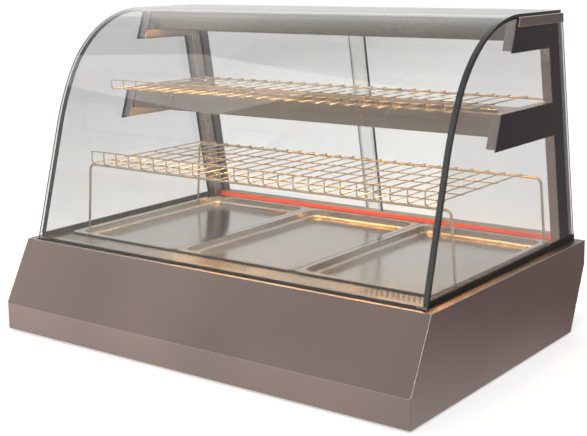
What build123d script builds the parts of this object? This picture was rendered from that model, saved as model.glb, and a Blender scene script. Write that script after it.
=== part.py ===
from build123d import *
import os
from math import atan2, cos, degrees, radians, sin, tan

# Heated display case: a sheet-steel base with three drop-in pans, two leaning F-shaped side frames,
# a curved front glass hinged at its foot, two lamp beams, two wire racks and sliding rear doors.
# Millimetres, +Z up, -Y is the front. Depths are measured rearwards from the front face of the
# base and heights upwards from its underside; at() turns them into the frame, whose origin is at
# the centre of the footprint, on the surface that the feet stand on. The case is built outwards
# from its row of pans: its width and depth are worked out from them.

# Base shell
SHEET = 1.5
BEND = 1.0
CORNER_RADIUS = 4.0
BAND_HEIGHT = 60.0
BASE_HEIGHT = 200.0
SLOPE_RUN = 73.0
REAR_BAND = 56.0
REAR_TUCK = 66.0
DECK_BEHIND = 71.0
RETURN_FLANGE = 30.0
SIDE_FLANGE = 45.0
FOOT_PROUD = 4.0
FOOT_RADIUS = 20.0
FOOT_INSET = 95.0
SLIP = 0.3

# Deck, from the front rearwards
DECK_SHEET = 2.0
APRON_LIP = 6.0
LIP_DROP = 12.0
HINGE_SLOT = 19.0
STRIP_DEPTH = 58.0
AIR_GAP = 6.0
DECK_BACK = 2.0
VENT_HOLE = 6.5
VENT_PITCH = 12.0
VENT_ROW_PITCH = 10.4
VENT_ROWS = 4
VENT_COLUMNS = 13
VENT_SIDE = 79.0
VENT_START = 22.0

# Pans
PAN_COUNT = 3
PAN_WIDTH = 325.0
PAN_LENGTH = 530.0
PAN_DEPTH = 20.0
PAN_SHEET = 1.0
PAN_RIM = 12.0
PAN_LIP = 4.0
PAN_GAP = 2.0
PAN_RIM_RADIUS = 14.0
PAN_WALL_RADIUS = 30.0
PAN_FLOOR_RADIUS = 9.0
PAN_CLEARANCE = 1.5
PAN_SIDE_GAP = 1.5
DECK_CORNER = 12.0
BAR_SHEET = 2.0
BAR_DROP = 12.0
BAR_TONGUE = 8.0

# Side frames and glass
SIDE_GLASS = 6.0
SIDE_GLASS_INSET = 24.0
COVER_SHEET = 2.0
COVER_LIP = 4.0
FRAME_WIDTH = 22.0
FRAME_SHEET = 1.5
COLUMN_SETBACK = 76.0
COLUMN_LEAN = 10.0
COLUMN_DEPTH = 48.0
REAR_STRIP = 22.0
NOSE_LEAN = 19.0
TOP_ARM_TOP = 716.0
TOP_ARM_HEIGHT = 70.0
TOP_ARM_NOSE = 456.0
MID_ARM_TOP = 527.0
MID_ARM_HEIGHT = 73.0
MID_ARM_NOSE = 392.0
CHANNEL_WALL = 1.2
CHANNEL_HEIGHT = 12.0
CHANNEL_FLOOR = 2.0
GLASS_PLAY = 0.2

# Curved front glass: a leaning straight, two arcs and a flat top
FRONT_GLASS = 6.0
GLASS_OVERHANG = 6.0
GLASS_LEAN = 15.7
GLASS_STRAIGHT = 281.0
SHOULDER_LEAN = 28.0
SHOULDER_RADIUS = 600.0
GLASS_TOP = 725.0
GLASS_SETBACK = 120.0
SEAL = 4.0
SEAL_WIDTH = 9.0
BARREL_RADIUS = 8.5
BARREL_DROP = 10.0
PIN_RADIUS = 4.0
PIN_LENGTH = 20.0
PIN_PLAY = 0.05
BEARING_WIDTH = 10.0

# Lamp beams
BEAM_SHEET = 1.2
BEAM_ROUND = 14.0
TOP_BEAM_HEIGHT = 46.0
TOP_BEAM_BEHIND = 25.0
MID_BEAM_HEIGHT = 46.0
MID_BEAM_DEPTH = 120.0
BEAM_SETBACK = 3.0
BEAM_RETURN = 14.0
CAP_SHEET = 1.2
CAP_FLANGE = 18.0
BUFFER_RADIUS = 7.0
LAMP_RADIUS = 6.0
LAMP_CAP = 7.0
LAMP_CAP_DEPTH = 14.4
LAMP_CAP_HEIGHT = 9.6
LAMP_ROOM = 70.0
LAMP_SETBACK = 62.0
LAMP_DROP = 26.0
REFLECTOR_RADIUS = 22.0
REFLECTOR_SHEET = 0.8
REFLECTOR_RIB = 11.0
HOLDER_WIDTH = 14.0
HOLDER_LENGTH = 20.0
HOLDER_BELOW = 2.0

# Rear doors and their tracks, as depths behind the column's leaning front edge
DOOR_GLASS = 5.0
DOOR_FRONT = 36.0
DOOR_PITCH = 13.0
DOOR_OVERLAP = 27.0
DOOR_EDGE = 8.0
DOOR_EDGE_WALL = 1.5
TRACK_MARGIN = 6.0
TRACK_HEIGHT = 12.0
TRACK_GROOVE = 7.0
TOP_TRACK_HEIGHT = 26.0
TOP_TRACK_GROOVE = 18.0
DOOR_LIFT = 8.0
DOOR_PLAY = 0.6
SILL_STRIP = 2.0
SILL_HEIGHT = 8.0

# Wire racks
WIRE = 3.0
WIRE_WELD = 0.5
WIRE_PITCH = 40.0
WIRE_SIDE = 13.0
WIRE_BEND = 6.0
WIRE_TAIL = 5.0
RACK_ROD = 6.0
RACK_FRONT = 233.0
RACK_AHEAD = 56.0
RACK_HEIGHT = 159.0
RACK_FENCE = 30.0
LEG_SPLAY = 12.0
LEG_BEND = 14.0
RACK_LONG_START = 62.0
RACK_LONG_PITCH = 75.0
RACK_LONG_COUNT = 4
SHELF_ROD = 5.0
SHELF_FRONT = 302.0
SHELF_ROD_BEHIND = 23.0
SHELF_ROD_END = 2.0
SHELF_FENCE = 23.0
SHELF_ROD_SETBACK = 128.0
SHELF_LONG_START = 50.0
SHELF_LONG_PITCH = 150.0
SHELF_LONG_COUNT = 2
PEG_RADIUS = 4.0
PEG_LENGTH = 11.0

# Warm-air system inside the base
AIR_BOX_SHEET = 1.2
AIR_BOX_FLOOR = 70.0
AIR_BOX_SIDE = 40.0
AIR_BOX_SETBACK = 125.0
FAN_SIZE = 110.0
FAN_THICK = 32.0
FAN_SIDE = 210.0
FAN_HUB = 22.0
FAN_ARM_WIDTH = 8.0
FAN_ARM_THICK = 6.0
SPINDLE_LENGTH = 22.0
FAN_BLADES = 5
FAN_TIP_GAP = 3.0
BLADE_SHEET = 1.6
BLADE_PITCH = 35.0
BLADE_CHORD = 14.4
HUB_LENGTH = 16.0
HEATER_TUBE = 4.0
HEATER_HALF = 130.0
HEATER_REACH = 380.0
HEATER_BEND = 40.0

# Rear controls, on the slanted rear panel
CONTROL_DOWN = 70.0
KNOB_SIDE = 165.0
SWITCH_STEP = 80.0
SWITCH_PITCH = 42.0
PILOT_STEP = 58.0
GLAND_SIDE = 145.0
KNOB_RADIUS = 21.0
KNOB_HEIGHT = 17.0
KNOB_SKIRT = 6.0
KNOB_GRIP_RADIUS = 18.0
KNOB_GRIP_HEIGHT = 14.0
KNOB_TAPER = 6.0
KNOB_RIDGE = 7.0
KNOB_RIDGE_LENGTH = 35.0
SHAFT_RADIUS = 3.0
SHAFT_PLAY = 0.05
THERMOSTAT_SIZE = 44.0
THERMOSTAT_DEPTH = 30.0
THERMOSTAT_CORNER = 4.0
SHAFT_DEPTH = 10.0
SWITCH_WIDTH = 14.0
SWITCH_LENGTH = 28.0
SWITCH_BEZEL = 3.0
SWITCH_BEZEL_HEIGHT = 2.0
SWITCH_DEPTH = 24.0
SWITCH_WALL = 1.0
WELL_DEPTH = 10.0
ROCKER_PLAY = 0.9
ROCKER_PIN = 1.2
ROCKER_TILT = 8.0
ROCKER_MIDDLE = 2.5
ROCKER_END = 4.5
ROCKER_UNDER = 2.0
ROCKER_KEEL = 5.0
PANEL_PLAY = 0.2
PILOT_RADIUS = 6.0
PILOT_BODY = 15.0
PILOT_FLANGE = 2.0
PILOT_DOME_TAPER = 20.0
GLAND_RADIUS = 10.0
GLAND_BODY = 12.0
GLAND_NUT = 14.0
GLAND_NUT_HEIGHT = 5.0
GLAND_CAP = 9.0
GLAND_CAP_TAPER = 12.0
BLOCK_LENGTH = 80.0
BLOCK_WIDTH = 24.0
BLOCK_HEIGHT = 22.0
BLOCK_SETBACK = 60.0
BLOCK_WAYS = 5
BLOCK_PITCH = 16.0
BLOCK_SLOT = 6.0
BLOCK_SLOT_FLOOR = 14.0
LOUVRE_LENGTH = 90.0
LOUVRE_HEIGHT = 4.0
LOUVRE_PITCH = 12.0
LOUVRE_ROWS = 5
FOOT_CHAMFER = 1.0

# Places worked out from the sizes above, first those that the row of pans sets
DECK_TOP = BASE_HEIGHT + DECK_SHEET
LIP_END = SLOPE_RUN + APRON_LIP
STRIP_FRONT = LIP_END + HINGE_SLOT
STRIP_REAR = STRIP_FRONT + STRIP_DEPTH
DECK_FRONT = STRIP_REAR + AIR_GAP
DECK_REAR = DECK_FRONT + PAN_LENGTH + DECK_BEHIND
DEPTH = DECK_REAR + DECK_BACK
FRONT = -DEPTH / 2
PAN_PITCH = PAN_WIDTH + PAN_GAP
PAN_SEAT = DECK_TOP + SLIP
PANS_HALF = (PAN_COUNT * PAN_PITCH - PAN_GAP) / 2
BAR_HALF = PAN_RIM + PAN_GAP / 2 - PAN_CLEARANCE
FRAME_IN = PANS_HALF + PAN_SIDE_GAP
FRAME_OUT = FRAME_IN + FRAME_WIDTH
GLASS_IN = FRAME_OUT + COVER_SHEET
GLASS_OUT = GLASS_IN + SIDE_GLASS
HALF = GLASS_OUT + SIDE_GLASS_INSET
FRONT_GLASS_HALF = GLASS_OUT + GLASS_OVERHANG
GLASS_BACK = DEPTH - GLASS_SETBACK
CHANNEL_IN = GLASS_IN - GLASS_PLAY - CHANNEL_WALL
CHANNEL_OUT = GLASS_OUT + GLASS_PLAY + CHANNEL_WALL
CHANNEL_TOP = BASE_HEIGHT + CHANNEL_HEIGHT
COLUMN_FOOT = DEPTH - COLUMN_SETBACK
COLUMN_TOTAL = COLUMN_DEPTH + REAR_STRIP
BARREL_Y = LIP_END + HINGE_SLOT / 2
BARREL_Z = BASE_HEIGHT - BARREL_DROP
BEARING_START = FRONT_GLASS_HALF + SLIP + BEND
BEAM_HALF = FRAME_IN - SLIP
LAMP_LENGTH = BEAM_HALF - LAMP_ROOM
LAMP_SPREAD = BEAM_HALF / 2
VENT_SPREAD = FRAME_OUT - VENT_SIDE
RACK_DEPTH = COLUMN_FOOT - RACK_AHEAD - RACK_FRONT
RACK_ROD_Z = DECK_TOP + RACK_HEIGHT - RACK_ROD / 2
SHELF_ROD_Z = MID_ARM_TOP + SLIP + SHELF_ROD / 2
WIRE_START = WIRE_SIDE - FRAME_IN
WIRE_COUNT = 1 + int((FRAME_IN - WIRE_START - WIRE_PITCH) / WIRE_PITCH)
AIR_BOX_BACK = DEPTH - AIR_BOX_SETBACK
AIR_BOX_HALF = HALF - SIDE_FLANGE - AIR_BOX_SIDE
FAN_SPREAD = AIR_BOX_HALF - FAN_SIDE
KNOB_X = HALF - KNOB_SIDE
SWITCH_X = KNOB_X - SWITCH_STEP
PILOT_X = SWITCH_X - SWITCH_PITCH - PILOT_STEP
GLAND_X = GLAND_SIDE - HALF


def at(depth, height):
    """Frame coordinates (Y, Z) of a depth behind the front face and a height over the base."""
    return (FRONT + depth, FOOT_PROUD + height)


def face_of(points):
    """Flat face in the side plane from corner points given as depths and heights."""
    return make_face(Polyline(*[at(*point) for point in points], close=True))


def along_x(face, start, end):
    """Solid made by carrying a side-plane face from one X to another."""
    return extrude(Plane.YZ.offset(start) * face, end - start)


def block(x, depth, height):
    """Box between two X values, two depths and two heights."""
    size = (x[1] - x[0], depth[1] - depth[0], height[1] - height[0])
    corner = (x[0], *at(depth[0], height[0]))
    return Pos(*corner) * Box(*size, align=(Align.MIN, Align.MIN, Align.MIN))


def turn_of(before, after):
    """Signed turn between two runs of a walk, positive to the left."""
    return before.X * after.Y - before.Y * after.X


def fold(points, thickness, bends={}):
    """Section of a folded sheet: its outer walk, with the thickness laid to the left of it.

    Corners have the usual inner bend radius, or the one that bends gives for their number.
    """
    path = [Vector(*at(*point)) for point in points]
    runs = [(b - a).normalized() for a, b in zip(path, path[1:])]
    sides = [Vector(-run.Y, run.X) for run in runs]
    inner = [path[0] + sides[0] * thickness]
    walk_radii = []
    inner_radii = []
    for i in range(1, len(path) - 1):
        mitre = (sides[i - 1] + sides[i]) * (thickness / (1 + sides[i - 1].dot(sides[i])))
        inner.append(path[i] + mitre)
        left = turn_of(runs[i - 1], runs[i]) > 0
        bend = bends.get(i, BEND)
        walk_radii.append(bend + thickness if left else bend)
        inner_radii.append(bend if left else bend + thickness)
    inner.append(path[-1] + sides[-1] * thickness)
    outer_line = FilletPolyline(*path, radius=walk_radii)
    inner_line = FilletPolyline(*inner, radius=inner_radii)
    ends = [Line(path[0], inner[0]), Line(path[-1], inner[-1])]
    return make_face([outer_line, inner_line, *ends])


def mirrored(part):
    """The same piece on the other side of the case."""
    return mirror(part, about=Plane.YZ)


def base_outline(inset):
    """Corners of the base's side outline, moved inwards by inset."""
    slope = atan2(SLOPE_RUN, BASE_HEIGHT - BAND_HEIGHT)
    tuck = atan2(REAR_TUCK, BASE_HEIGHT - REAR_BAND)
    knee = inset * tan(slope / 2)
    rear_knee = inset * tan(tuck / 2)
    top_in = inset / cos(slope) + inset * tan(slope)
    foot_in = inset / cos(tuck) + inset * tan(tuck)
    return [
        (inset, inset),
        (inset, BAND_HEIGHT + knee),
        (SLOPE_RUN + top_in, BASE_HEIGHT - inset),
        (DEPTH - inset, BASE_HEIGHT - inset),
        (DEPTH - inset, BASE_HEIGHT - REAR_BAND + rear_knee),
        (DEPTH - REAR_TUCK - foot_in, inset),
    ]


def base_block(inset, radius):
    """Solid of the base's outer form, drawn in by inset, with its front corners rounded."""
    body = along_x(face_of(base_outline(inset)), inset - HALF, HALF - inset)
    y_knee = at(SLOPE_RUN / 2, 0)[0]
    corners = []
    for edge in body.edges():
        run = edge.tangent_at(0.5)
        if abs(run.X) < 0.01 and edge.center().Y < y_knee and abs(run.Z) > 0.5:
            corners.append(edge)
    return fillet(corners, radius)


def base_shell():
    """Front apron and both side walls, welded into one shell with rounded front corners."""
    shell = base_block(0, CORNER_RADIUS) - base_block(SHEET, CORNER_RADIUS - SHEET)
    inner = HALF - SIDE_FLANGE
    shell -= block((-inner, inner), (LIP_END, DEPTH + 1), (LIP_DROP, BASE_HEIGHT + 1))
    hole = HALF - RETURN_FLANGE
    shell -= block((-hole, hole), (RETURN_FLANGE, DEPTH + 1), (-1, BASE_HEIGHT / 2))
    glass = BEARING_START
    shell -= block((-glass, glass), (LIP_END, STRIP_FRONT), (BASE_HEIGHT / 2, BASE_HEIGHT + 1))
    width = HALF - SHEET
    shell -= along_x(face_of(rear_room()), -width, width)
    lip = block((-glass, glass), (LIP_END - SHEET, LIP_END),
                (BASE_HEIGHT - LIP_DROP, BASE_HEIGHT))
    return shell + lip


def rear_room():
    """Side outline of the space behind the shell that the rear panel closes."""
    foot = DEPTH - REAR_TUCK - RETURN_FLANGE
    return [
        (foot, -1),
        (foot, BASE_HEIGHT - REAR_BAND),
        (DEPTH - RETURN_FLANGE, BASE_HEIGHT - REAR_BAND),
        (DEPTH - RETURN_FLANGE, BASE_HEIGHT + 1),
        (DEPTH + 1, BASE_HEIGHT + 1),
        (DEPTH + 1, -1),
    ]


def tuck_angle():
    """Angle between the slanted rear panel and the vertical, in degrees."""
    return degrees(atan2(REAR_TUCK, BASE_HEIGHT - REAR_BAND))


def rear_plane(x, down):
    """Plane on the slanted rear face, at a distance down from its top fold, facing outwards."""
    tuck = radians(tuck_angle())
    y, z = at(DEPTH - down * sin(tuck), BASE_HEIGHT - REAR_BAND - down * cos(tuck))
    return Plane(origin=(x, y, z), x_dir=(1, 0, 0), z_dir=(0, cos(tuck), -sin(tuck)))


def switch_places():
    """X of the two rocker switches."""
    return [SWITCH_X, SWITCH_X - SWITCH_PITCH]


def through_panel(sketch, plane):
    """Cutter that passes a sketch through the rear panel at a plane on it."""
    return extrude(plane * sketch, SHEET * 2, both=True)


def rear_panel():
    """Folded rear panel: foot return, slanted field with the controls, band and top flange."""
    walk = [
        (DEPTH - REAR_TUCK - RETURN_FLANGE, 0),
        (DEPTH - REAR_TUCK, 0),
        (DEPTH, BASE_HEIGHT - REAR_BAND),
        (DEPTH, BASE_HEIGHT),
        (DEPTH - RETURN_FLANGE, BASE_HEIGHT),
    ]
    panel = along_x(fold(walk, SHEET), SHEET - HALF, HALF - SHEET)
    opening = Rectangle(SWITCH_WIDTH + 2 * PANEL_PLAY, SWITCH_LENGTH + 2 * PANEL_PLAY)
    for x in switch_places():
        panel -= through_panel(opening, rear_plane(x, CONTROL_DOWN))
    holes = {KNOB_X: SHAFT_RADIUS + 1, PILOT_X: PILOT_RADIUS + PANEL_PLAY,
             GLAND_X: GLAND_RADIUS + PANEL_PLAY}
    for x, radius in holes.items():
        panel -= through_panel(Circle(radius), rear_plane(x, CONTROL_DOWN))
    slot = SlotOverall(LOUVRE_LENGTH, LOUVRE_HEIGHT)
    middle = CONTROL_DOWN - LOUVRE_PITCH * (LOUVRE_ROWS - 1) / 2
    for x in (-FAN_SPREAD / 2, FAN_SPREAD / 4):
        for row in range(LOUVRE_ROWS):
            panel -= through_panel(slot, rear_plane(x, middle + row * LOUVRE_PITCH))
    return panel


def bottom_plate():
    """Floor sheet that lies on the shell's return flanges, with air slots under the fans."""
    edge = HALF - SHEET - SLIP
    rear = DEPTH - REAR_TUCK - SHEET * 2
    plate = block((-edge, edge), (SHEET * 2, rear), (SHEET, SHEET * 2))
    cutter = Pos(0, 0, at(0, SHEET * 1.5)[1]) * extrude(
        SlotOverall(LOUVRE_LENGTH, LOUVRE_HEIGHT), SHEET, both=True)
    y_first = at(AIR_BOX_BACK, 0)[0]
    for x in (-FAN_SPREAD, FAN_SPREAD):
        for row in range(LOUVRE_ROWS):
            plate -= Pos(x, y_first - row * LOUVRE_PITCH, 0) * cutter
    return plate


def foot_places():
    """Positions of the four feet in plan."""
    x = HALF - FOOT_INSET
    near = at(FOOT_INSET, 0)[0]
    far = at(DEPTH - REAR_TUCK - FOOT_INSET, 0)[0]
    return [(side * x, y) for side in (-1, 1) for y in (near, far)]


def feet():
    """Four rubber feet under the floor sheet, tapering a little to the ground."""
    height = FOOT_PROUD + SHEET
    foot = chamfer(Cylinder(FOOT_RADIUS, height).edges().sort_by(Axis.Z)[0], FOOT_CHAMFER)
    return [Pos(x, y, height / 2) * foot for x, y in foot_places()]


def pan_centres():
    """X of each pan's centre."""
    first = -PAN_PITCH * (PAN_COUNT - 1) / 2
    return [first + i * PAN_PITCH for i in range(PAN_COUNT)]


def pan_webs():
    """X of each joint between two pans."""
    return [x + PAN_PITCH / 2 for x in pan_centres()[:-1]]


def deck_opening():
    """Depths of the front and rear edges of the deck's opening."""
    reach = PAN_RIM - PAN_CLEARANCE
    return DECK_FRONT + reach, DECK_FRONT + PAN_LENGTH - reach


def deck_plate():
    """Deck sheet with one opening for the row of pans, and a lip turned down at its front."""
    plate = block((-FRAME_OUT, FRAME_OUT), (DECK_FRONT, DECK_REAR), (BASE_HEIGHT, DECK_TOP))
    near, far = deck_opening()
    half = PANS_HALF - PAN_RIM + PAN_CLEARANCE
    hole = extrude(RectangleRounded(2 * half, far - near, DECK_CORNER), DECK_SHEET)
    plate -= Pos(0, *at((near + far) / 2, BASE_HEIGHT)) * hole
    edge = HALF - SIDE_FLANGE - SLIP
    return plate + block((-edge, edge), (DECK_FRONT, DECK_FRONT + DECK_SHEET),
                         (BASE_HEIGHT - LIP_DROP, BASE_HEIGHT))


def pan_bar(x):
    """Channel bar under the joint of two pans, with a tongue under the deck at each end."""
    near, far = deck_opening()
    inside = BAR_HALF - BAR_SHEET
    ends = (near + SLIP, far - SLIP)
    bar = block((x - BAR_HALF, x + BAR_HALF), ends, (DECK_TOP - BAR_DROP, DECK_TOP))
    bar -= block((x - inside, x + inside), ends, (DECK_TOP - BAR_DROP, BASE_HEIGHT - BAR_SHEET))
    return bar + block((x - inside, x + inside), (near - BAR_TONGUE, far + BAR_TONGUE),
                       (BASE_HEIGHT - BAR_SHEET, BASE_HEIGHT))


def vent_strip():
    """Front strip of the deck with its three fields of staggered round warm-air holes."""
    edge = HALF - SIDE_FLANGE - SLIP
    strip = block((-FRAME_OUT, FRAME_OUT), (STRIP_FRONT, STRIP_REAR), (BASE_HEIGHT, DECK_TOP))
    for depth in (STRIP_FRONT, STRIP_REAR - DECK_SHEET):
        strip += block((-edge, edge), (depth, depth + DECK_SHEET),
                       (BASE_HEIGHT - LIP_DROP, BASE_HEIGHT))
    drill = Cylinder(VENT_HOLE / 2, DECK_SHEET * 3)
    places = []
    for row in range(VENT_ROWS):
        columns = VENT_COLUMNS - row % 2
        first = -VENT_PITCH * (columns - 1) / 2
        y, z = at(STRIP_FRONT + VENT_START + row * VENT_ROW_PITCH, BASE_HEIGHT)
        for centre in (-VENT_SPREAD, 0, VENT_SPREAD):
            for column in range(columns):
                places.append(Pos(centre + first + column * VENT_PITCH, y, z))
    return strip - [place * drill for place in places]


def rounded_pan(width, length, depth, wall_radius, floor_radius):
    """Solid of a pan's bowl, with upright corners and the floor's edge rounded."""
    bowl = extrude(RectangleRounded(width, length, wall_radius), -depth)
    floor = bowl.faces().sort_by(Axis.Z)[0]
    return fillet(floor.edges(), floor_radius)


def pan(x):
    """Shallow pressed pan: bowl, flat rim and a rim edge turned down onto the deck."""
    opening = PAN_WIDTH - 2 * PAN_RIM
    long_opening = PAN_LENGTH - 2 * PAN_RIM
    bowl = rounded_pan(opening, long_opening, PAN_DEPTH, PAN_WALL_RADIUS, PAN_FLOOR_RADIUS)
    room = rounded_pan(opening - 2 * PAN_SHEET, long_opening - 2 * PAN_SHEET,
                       PAN_DEPTH - PAN_SHEET, PAN_WALL_RADIUS - PAN_SHEET,
                       PAN_FLOOR_RADIUS - PAN_SHEET)
    rim = extrude(RectangleRounded(PAN_WIDTH, PAN_LENGTH, PAN_RIM_RADIUS), -PAN_LIP)
    under = extrude(RectangleRounded(PAN_WIDTH - 2 * PAN_SHEET, PAN_LENGTH - 2 * PAN_SHEET,
                                     PAN_RIM_RADIUS - PAN_SHEET), -PAN_LIP)
    rim -= Pos(0, 0, -PAN_SHEET) * under
    y, z = at(DECK_FRONT + PAN_LENGTH / 2, PAN_SEAT + PAN_LIP)
    return Pos(x, y, z) * (rim + bowl - room)


def column_depth(height, behind):
    """Depth, at a height, of a line parallel to the column's front edge and behind it."""
    return COLUMN_FOOT + behind - (height - DECK_TOP) * tan(radians(COLUMN_LEAN))


def nose_depth(top, nose, height, behind):
    """Depth, at a height, of an arm's leaning nose."""
    return nose + behind - (top - height) * tan(radians(NOSE_LEAN))


def f_outline(inset, rear, foot):
    """F outline of a side frame: leaning column, mid arm and top arm, with edges drawn in."""
    mid_low = MID_ARM_TOP - MID_ARM_HEIGHT + inset
    top_low = TOP_ARM_TOP - TOP_ARM_HEIGHT + inset
    return [
        (column_depth(foot, inset), foot),
        (column_depth(mid_low, inset), mid_low),
        (nose_depth(MID_ARM_TOP, MID_ARM_NOSE, mid_low, inset), mid_low),
        (nose_depth(MID_ARM_TOP, MID_ARM_NOSE, MID_ARM_TOP, inset), MID_ARM_TOP),
        (column_depth(MID_ARM_TOP, inset), MID_ARM_TOP),
        (column_depth(top_low, inset), top_low),
        (nose_depth(TOP_ARM_TOP, TOP_ARM_NOSE, top_low, inset), top_low),
        (nose_depth(TOP_ARM_TOP, TOP_ARM_NOSE, TOP_ARM_TOP, inset), TOP_ARM_TOP),
        (column_depth(TOP_ARM_TOP, rear), TOP_ARM_TOP),
        (column_depth(foot, rear), foot),
    ]


def side_frame():
    """Right frame: a pressed steel F, a tray whose open side is closed by the black cover."""
    outline = face_of(f_outline(COVER_LIP, COLUMN_TOTAL, DECK_TOP))
    frame = along_x(outline, FRAME_IN, FRAME_OUT)
    pocket = offset(outline, -FRAME_SHEET, kind=Kind.INTERSECTION)
    return frame - along_x(pocket, FRAME_IN + FRAME_SHEET, FRAME_OUT)


def frame_cover():
    """Right black cover plate, standing a little proud of the steel frame's edges."""
    outline = face_of(f_outline(0, COLUMN_DEPTH, CHANNEL_TOP + GLASS_PLAY))
    return along_x(outline, FRAME_OUT, GLASS_IN)


def glass_lines(inset):
    """The front glass's side line, drawn in from its outer face by inset."""
    lean = radians(GLASS_LEAN)
    shoulder = radians(SHOULDER_LEAN)
    foot_y, foot_z = at(BARREL_Y, BARREL_Z)
    foot_y += (inset - FRONT_GLASS / 2) * cos(lean)
    foot_z -= (inset - FRONT_GLASS / 2) * sin(lean)
    rise = PolarLine((foot_y, foot_z), GLASS_STRAIGHT, 90 - GLASS_LEAN)
    first = JernArc(rise @ 1, rise % 1, SHOULDER_RADIUS - inset, GLASS_LEAN - SHOULDER_LEAN)
    top_z = at(0, GLASS_TOP)[1] - inset
    radius = (top_z - (first @ 1).Y) / (1 - sin(shoulder))
    second = JernArc(first @ 1, first % 1, radius, SHOULDER_LEAN - 90)
    flat = Line(second @ 1, (at(GLASS_BACK, 0)[0], top_z))
    return [rise, first, second, flat]


def glass_depth(height, inset):
    """Depth, at a height on its straight stretch, of the front glass's line drawn in by inset."""
    lean = radians(GLASS_LEAN)
    aside = (inset - FRONT_GLASS / 2) / cos(lean)
    return BARREL_Y + aside + (height - BARREL_Z) * tan(lean)


def glass_band(near, far):
    """Face between two lines drawn in from the front glass's outer face."""
    outer = glass_lines(near)
    inner = glass_lines(far)
    ends = [Line(outer[0] @ 0, inner[0] @ 0), Line(outer[-1] @ 1, inner[-1] @ 1)]
    return make_face([*outer, *inner, *ends])


def front_glass():
    """Curved front glass, from its foot in the hinge barrel to the flat stretch over the hood."""
    return along_x(glass_band(0, FRONT_GLASS), -FRONT_GLASS_HALF, FRONT_GLASS_HALF)


def hinge_barrel():
    """Round hinge rail that grips the foot of the front glass and turns in the deck's slot."""
    y, z = at(BARREL_Y, BARREL_Z)
    bar = along_x(Pos(y, z) * Circle(BARREL_RADIUS), -FRONT_GLASS_HALF, FRONT_GLASS_HALF)
    bar -= front_glass()
    bore = along_x(Pos(y, z) * Circle(PIN_RADIUS), FRONT_GLASS_HALF - PIN_LENGTH / 2,
                   FRONT_GLASS_HALF)
    return bar - bore - mirrored(bore)


def hinge_pins():
    """Two hinge pins in line, one in each end of the barrel."""
    y, z = at(BARREL_Y, BARREL_Z)
    pin = along_x(Pos(y, z) * Circle(PIN_RADIUS), FRONT_GLASS_HALF - PIN_LENGTH / 2,
                  FRONT_GLASS_HALF + PIN_LENGTH / 2)
    pin -= front_glass()
    return [pin, mirrored(pin)]


def hinge_bearings():
    """Two bearing blocks under the shell's corners that carry the hinge pins."""
    start = BEARING_START
    bearing = block((start, start + BEARING_WIDTH), (LIP_END, STRIP_FRONT),
                    (BARREL_Z - BARREL_RADIUS, BASE_HEIGHT - SHEET))
    y, z = at(BARREL_Y, BARREL_Z)
    bore = Pos(y, z) * Circle(PIN_RADIUS + PIN_PLAY)
    bearing -= along_x(bore, start, start + BEARING_WIDTH)
    return [bearing, mirrored(bearing)]


def edge_seal():
    """Right black seal on the side glass's front edge, which the closed front glass lies on."""
    near = FRONT_GLASS + SLIP
    middle = (GLASS_IN + GLASS_OUT) / 2
    band = along_x(glass_band(near, near + SEAL), middle - SEAL_WIDTH / 2,
                   middle + SEAL_WIDTH / 2)
    band -= block((0, HALF), (TOP_ARM_NOSE - 2, DEPTH), (BASE_HEIGHT, GLASS_TOP))
    return band - block((0, HALF), (0, DEPTH), (0, CHANNEL_TOP + GLASS_PLAY))


def side_glass():
    """Right side glass, from its channel up to the hood and back to the rear of the column."""
    lines = glass_lines(FRONT_GLASS + SLIP + SEAL)
    foot = lines[0] @ 0
    top = lines[-1] @ 1
    top_height = GLASS_TOP - FRONT_GLASS - SLIP - SEAL
    low = BASE_HEIGHT - BARREL_DROP * 3
    corners = [
        top,
        Vector(*at(column_depth(top_height, COLUMN_TOTAL), top_height)),
        Vector(*at(column_depth(low, COLUMN_TOTAL), low)),
        Vector(foot.X, at(0, low)[1]),
        foot,
    ]
    face = make_face([*lines, Polyline(*corners)])
    floor = BASE_HEIGHT + CHANNEL_FLOOR
    return along_x(face, GLASS_IN, GLASS_OUT) - block((0, HALF), (0, DEPTH * 2), (0, floor))


def side_channel():
    """Right U channel on the shell's flange that holds the foot of the side glass."""
    front = glass_depth(CHANNEL_TOP, FRONT_GLASS + SLIP * 3)
    rear = column_depth(CHANNEL_TOP, COLUMN_TOTAL)
    channel = block((CHANNEL_IN, CHANNEL_OUT), (front, rear), (BASE_HEIGHT, CHANNEL_TOP))
    return channel - block((GLASS_IN - GLASS_PLAY, GLASS_OUT + GLASS_PLAY), (front, rear),
                           (BASE_HEIGHT + CHANNEL_FLOOR, CHANNEL_TOP))


def beam_front(nose):
    """Depth of a beam's front face at its top, a little behind the covers' noses."""
    return nose + BEAM_SETBACK + COVER_LIP


def beam_section(top, nose, height, rear, nose_bend):
    """Folded section of a lamp beam: rear wall, top, leaning front face and lower return."""
    front = beam_front(nose)
    low = top - height
    foot = nose_depth(top, front, low, 0)
    walk = [
        (rear, top - height / 2),
        (rear, top),
        (front, top),
        (foot, low),
        (foot + BEAM_RETURN, low),
    ]
    return fold(walk, BEAM_SHEET, {2: nose_bend})


def top_beam_rear():
    """Depth of the upper beam's rear wall, just ahead of the doors."""
    return column_depth(TOP_ARM_TOP, TOP_BEAM_BEHIND)


def top_beam():
    """Upper lamp beam between the top arms, with a rolled front edge."""
    section = beam_section(TOP_ARM_TOP, TOP_ARM_NOSE, TOP_BEAM_HEIGHT, top_beam_rear(), BEAM_ROUND)
    return along_x(section, -BEAM_HALF, BEAM_HALF)


def mid_beam():
    """Lower lamp beam between the mid arms, which the shelf rests on."""
    rear = beam_front(MID_ARM_NOSE) + MID_BEAM_DEPTH
    section = beam_section(MID_ARM_TOP, MID_ARM_NOSE, MID_BEAM_HEIGHT, rear, BEND)
    return along_x(section, -BEAM_HALF, BEAM_HALF)


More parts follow.
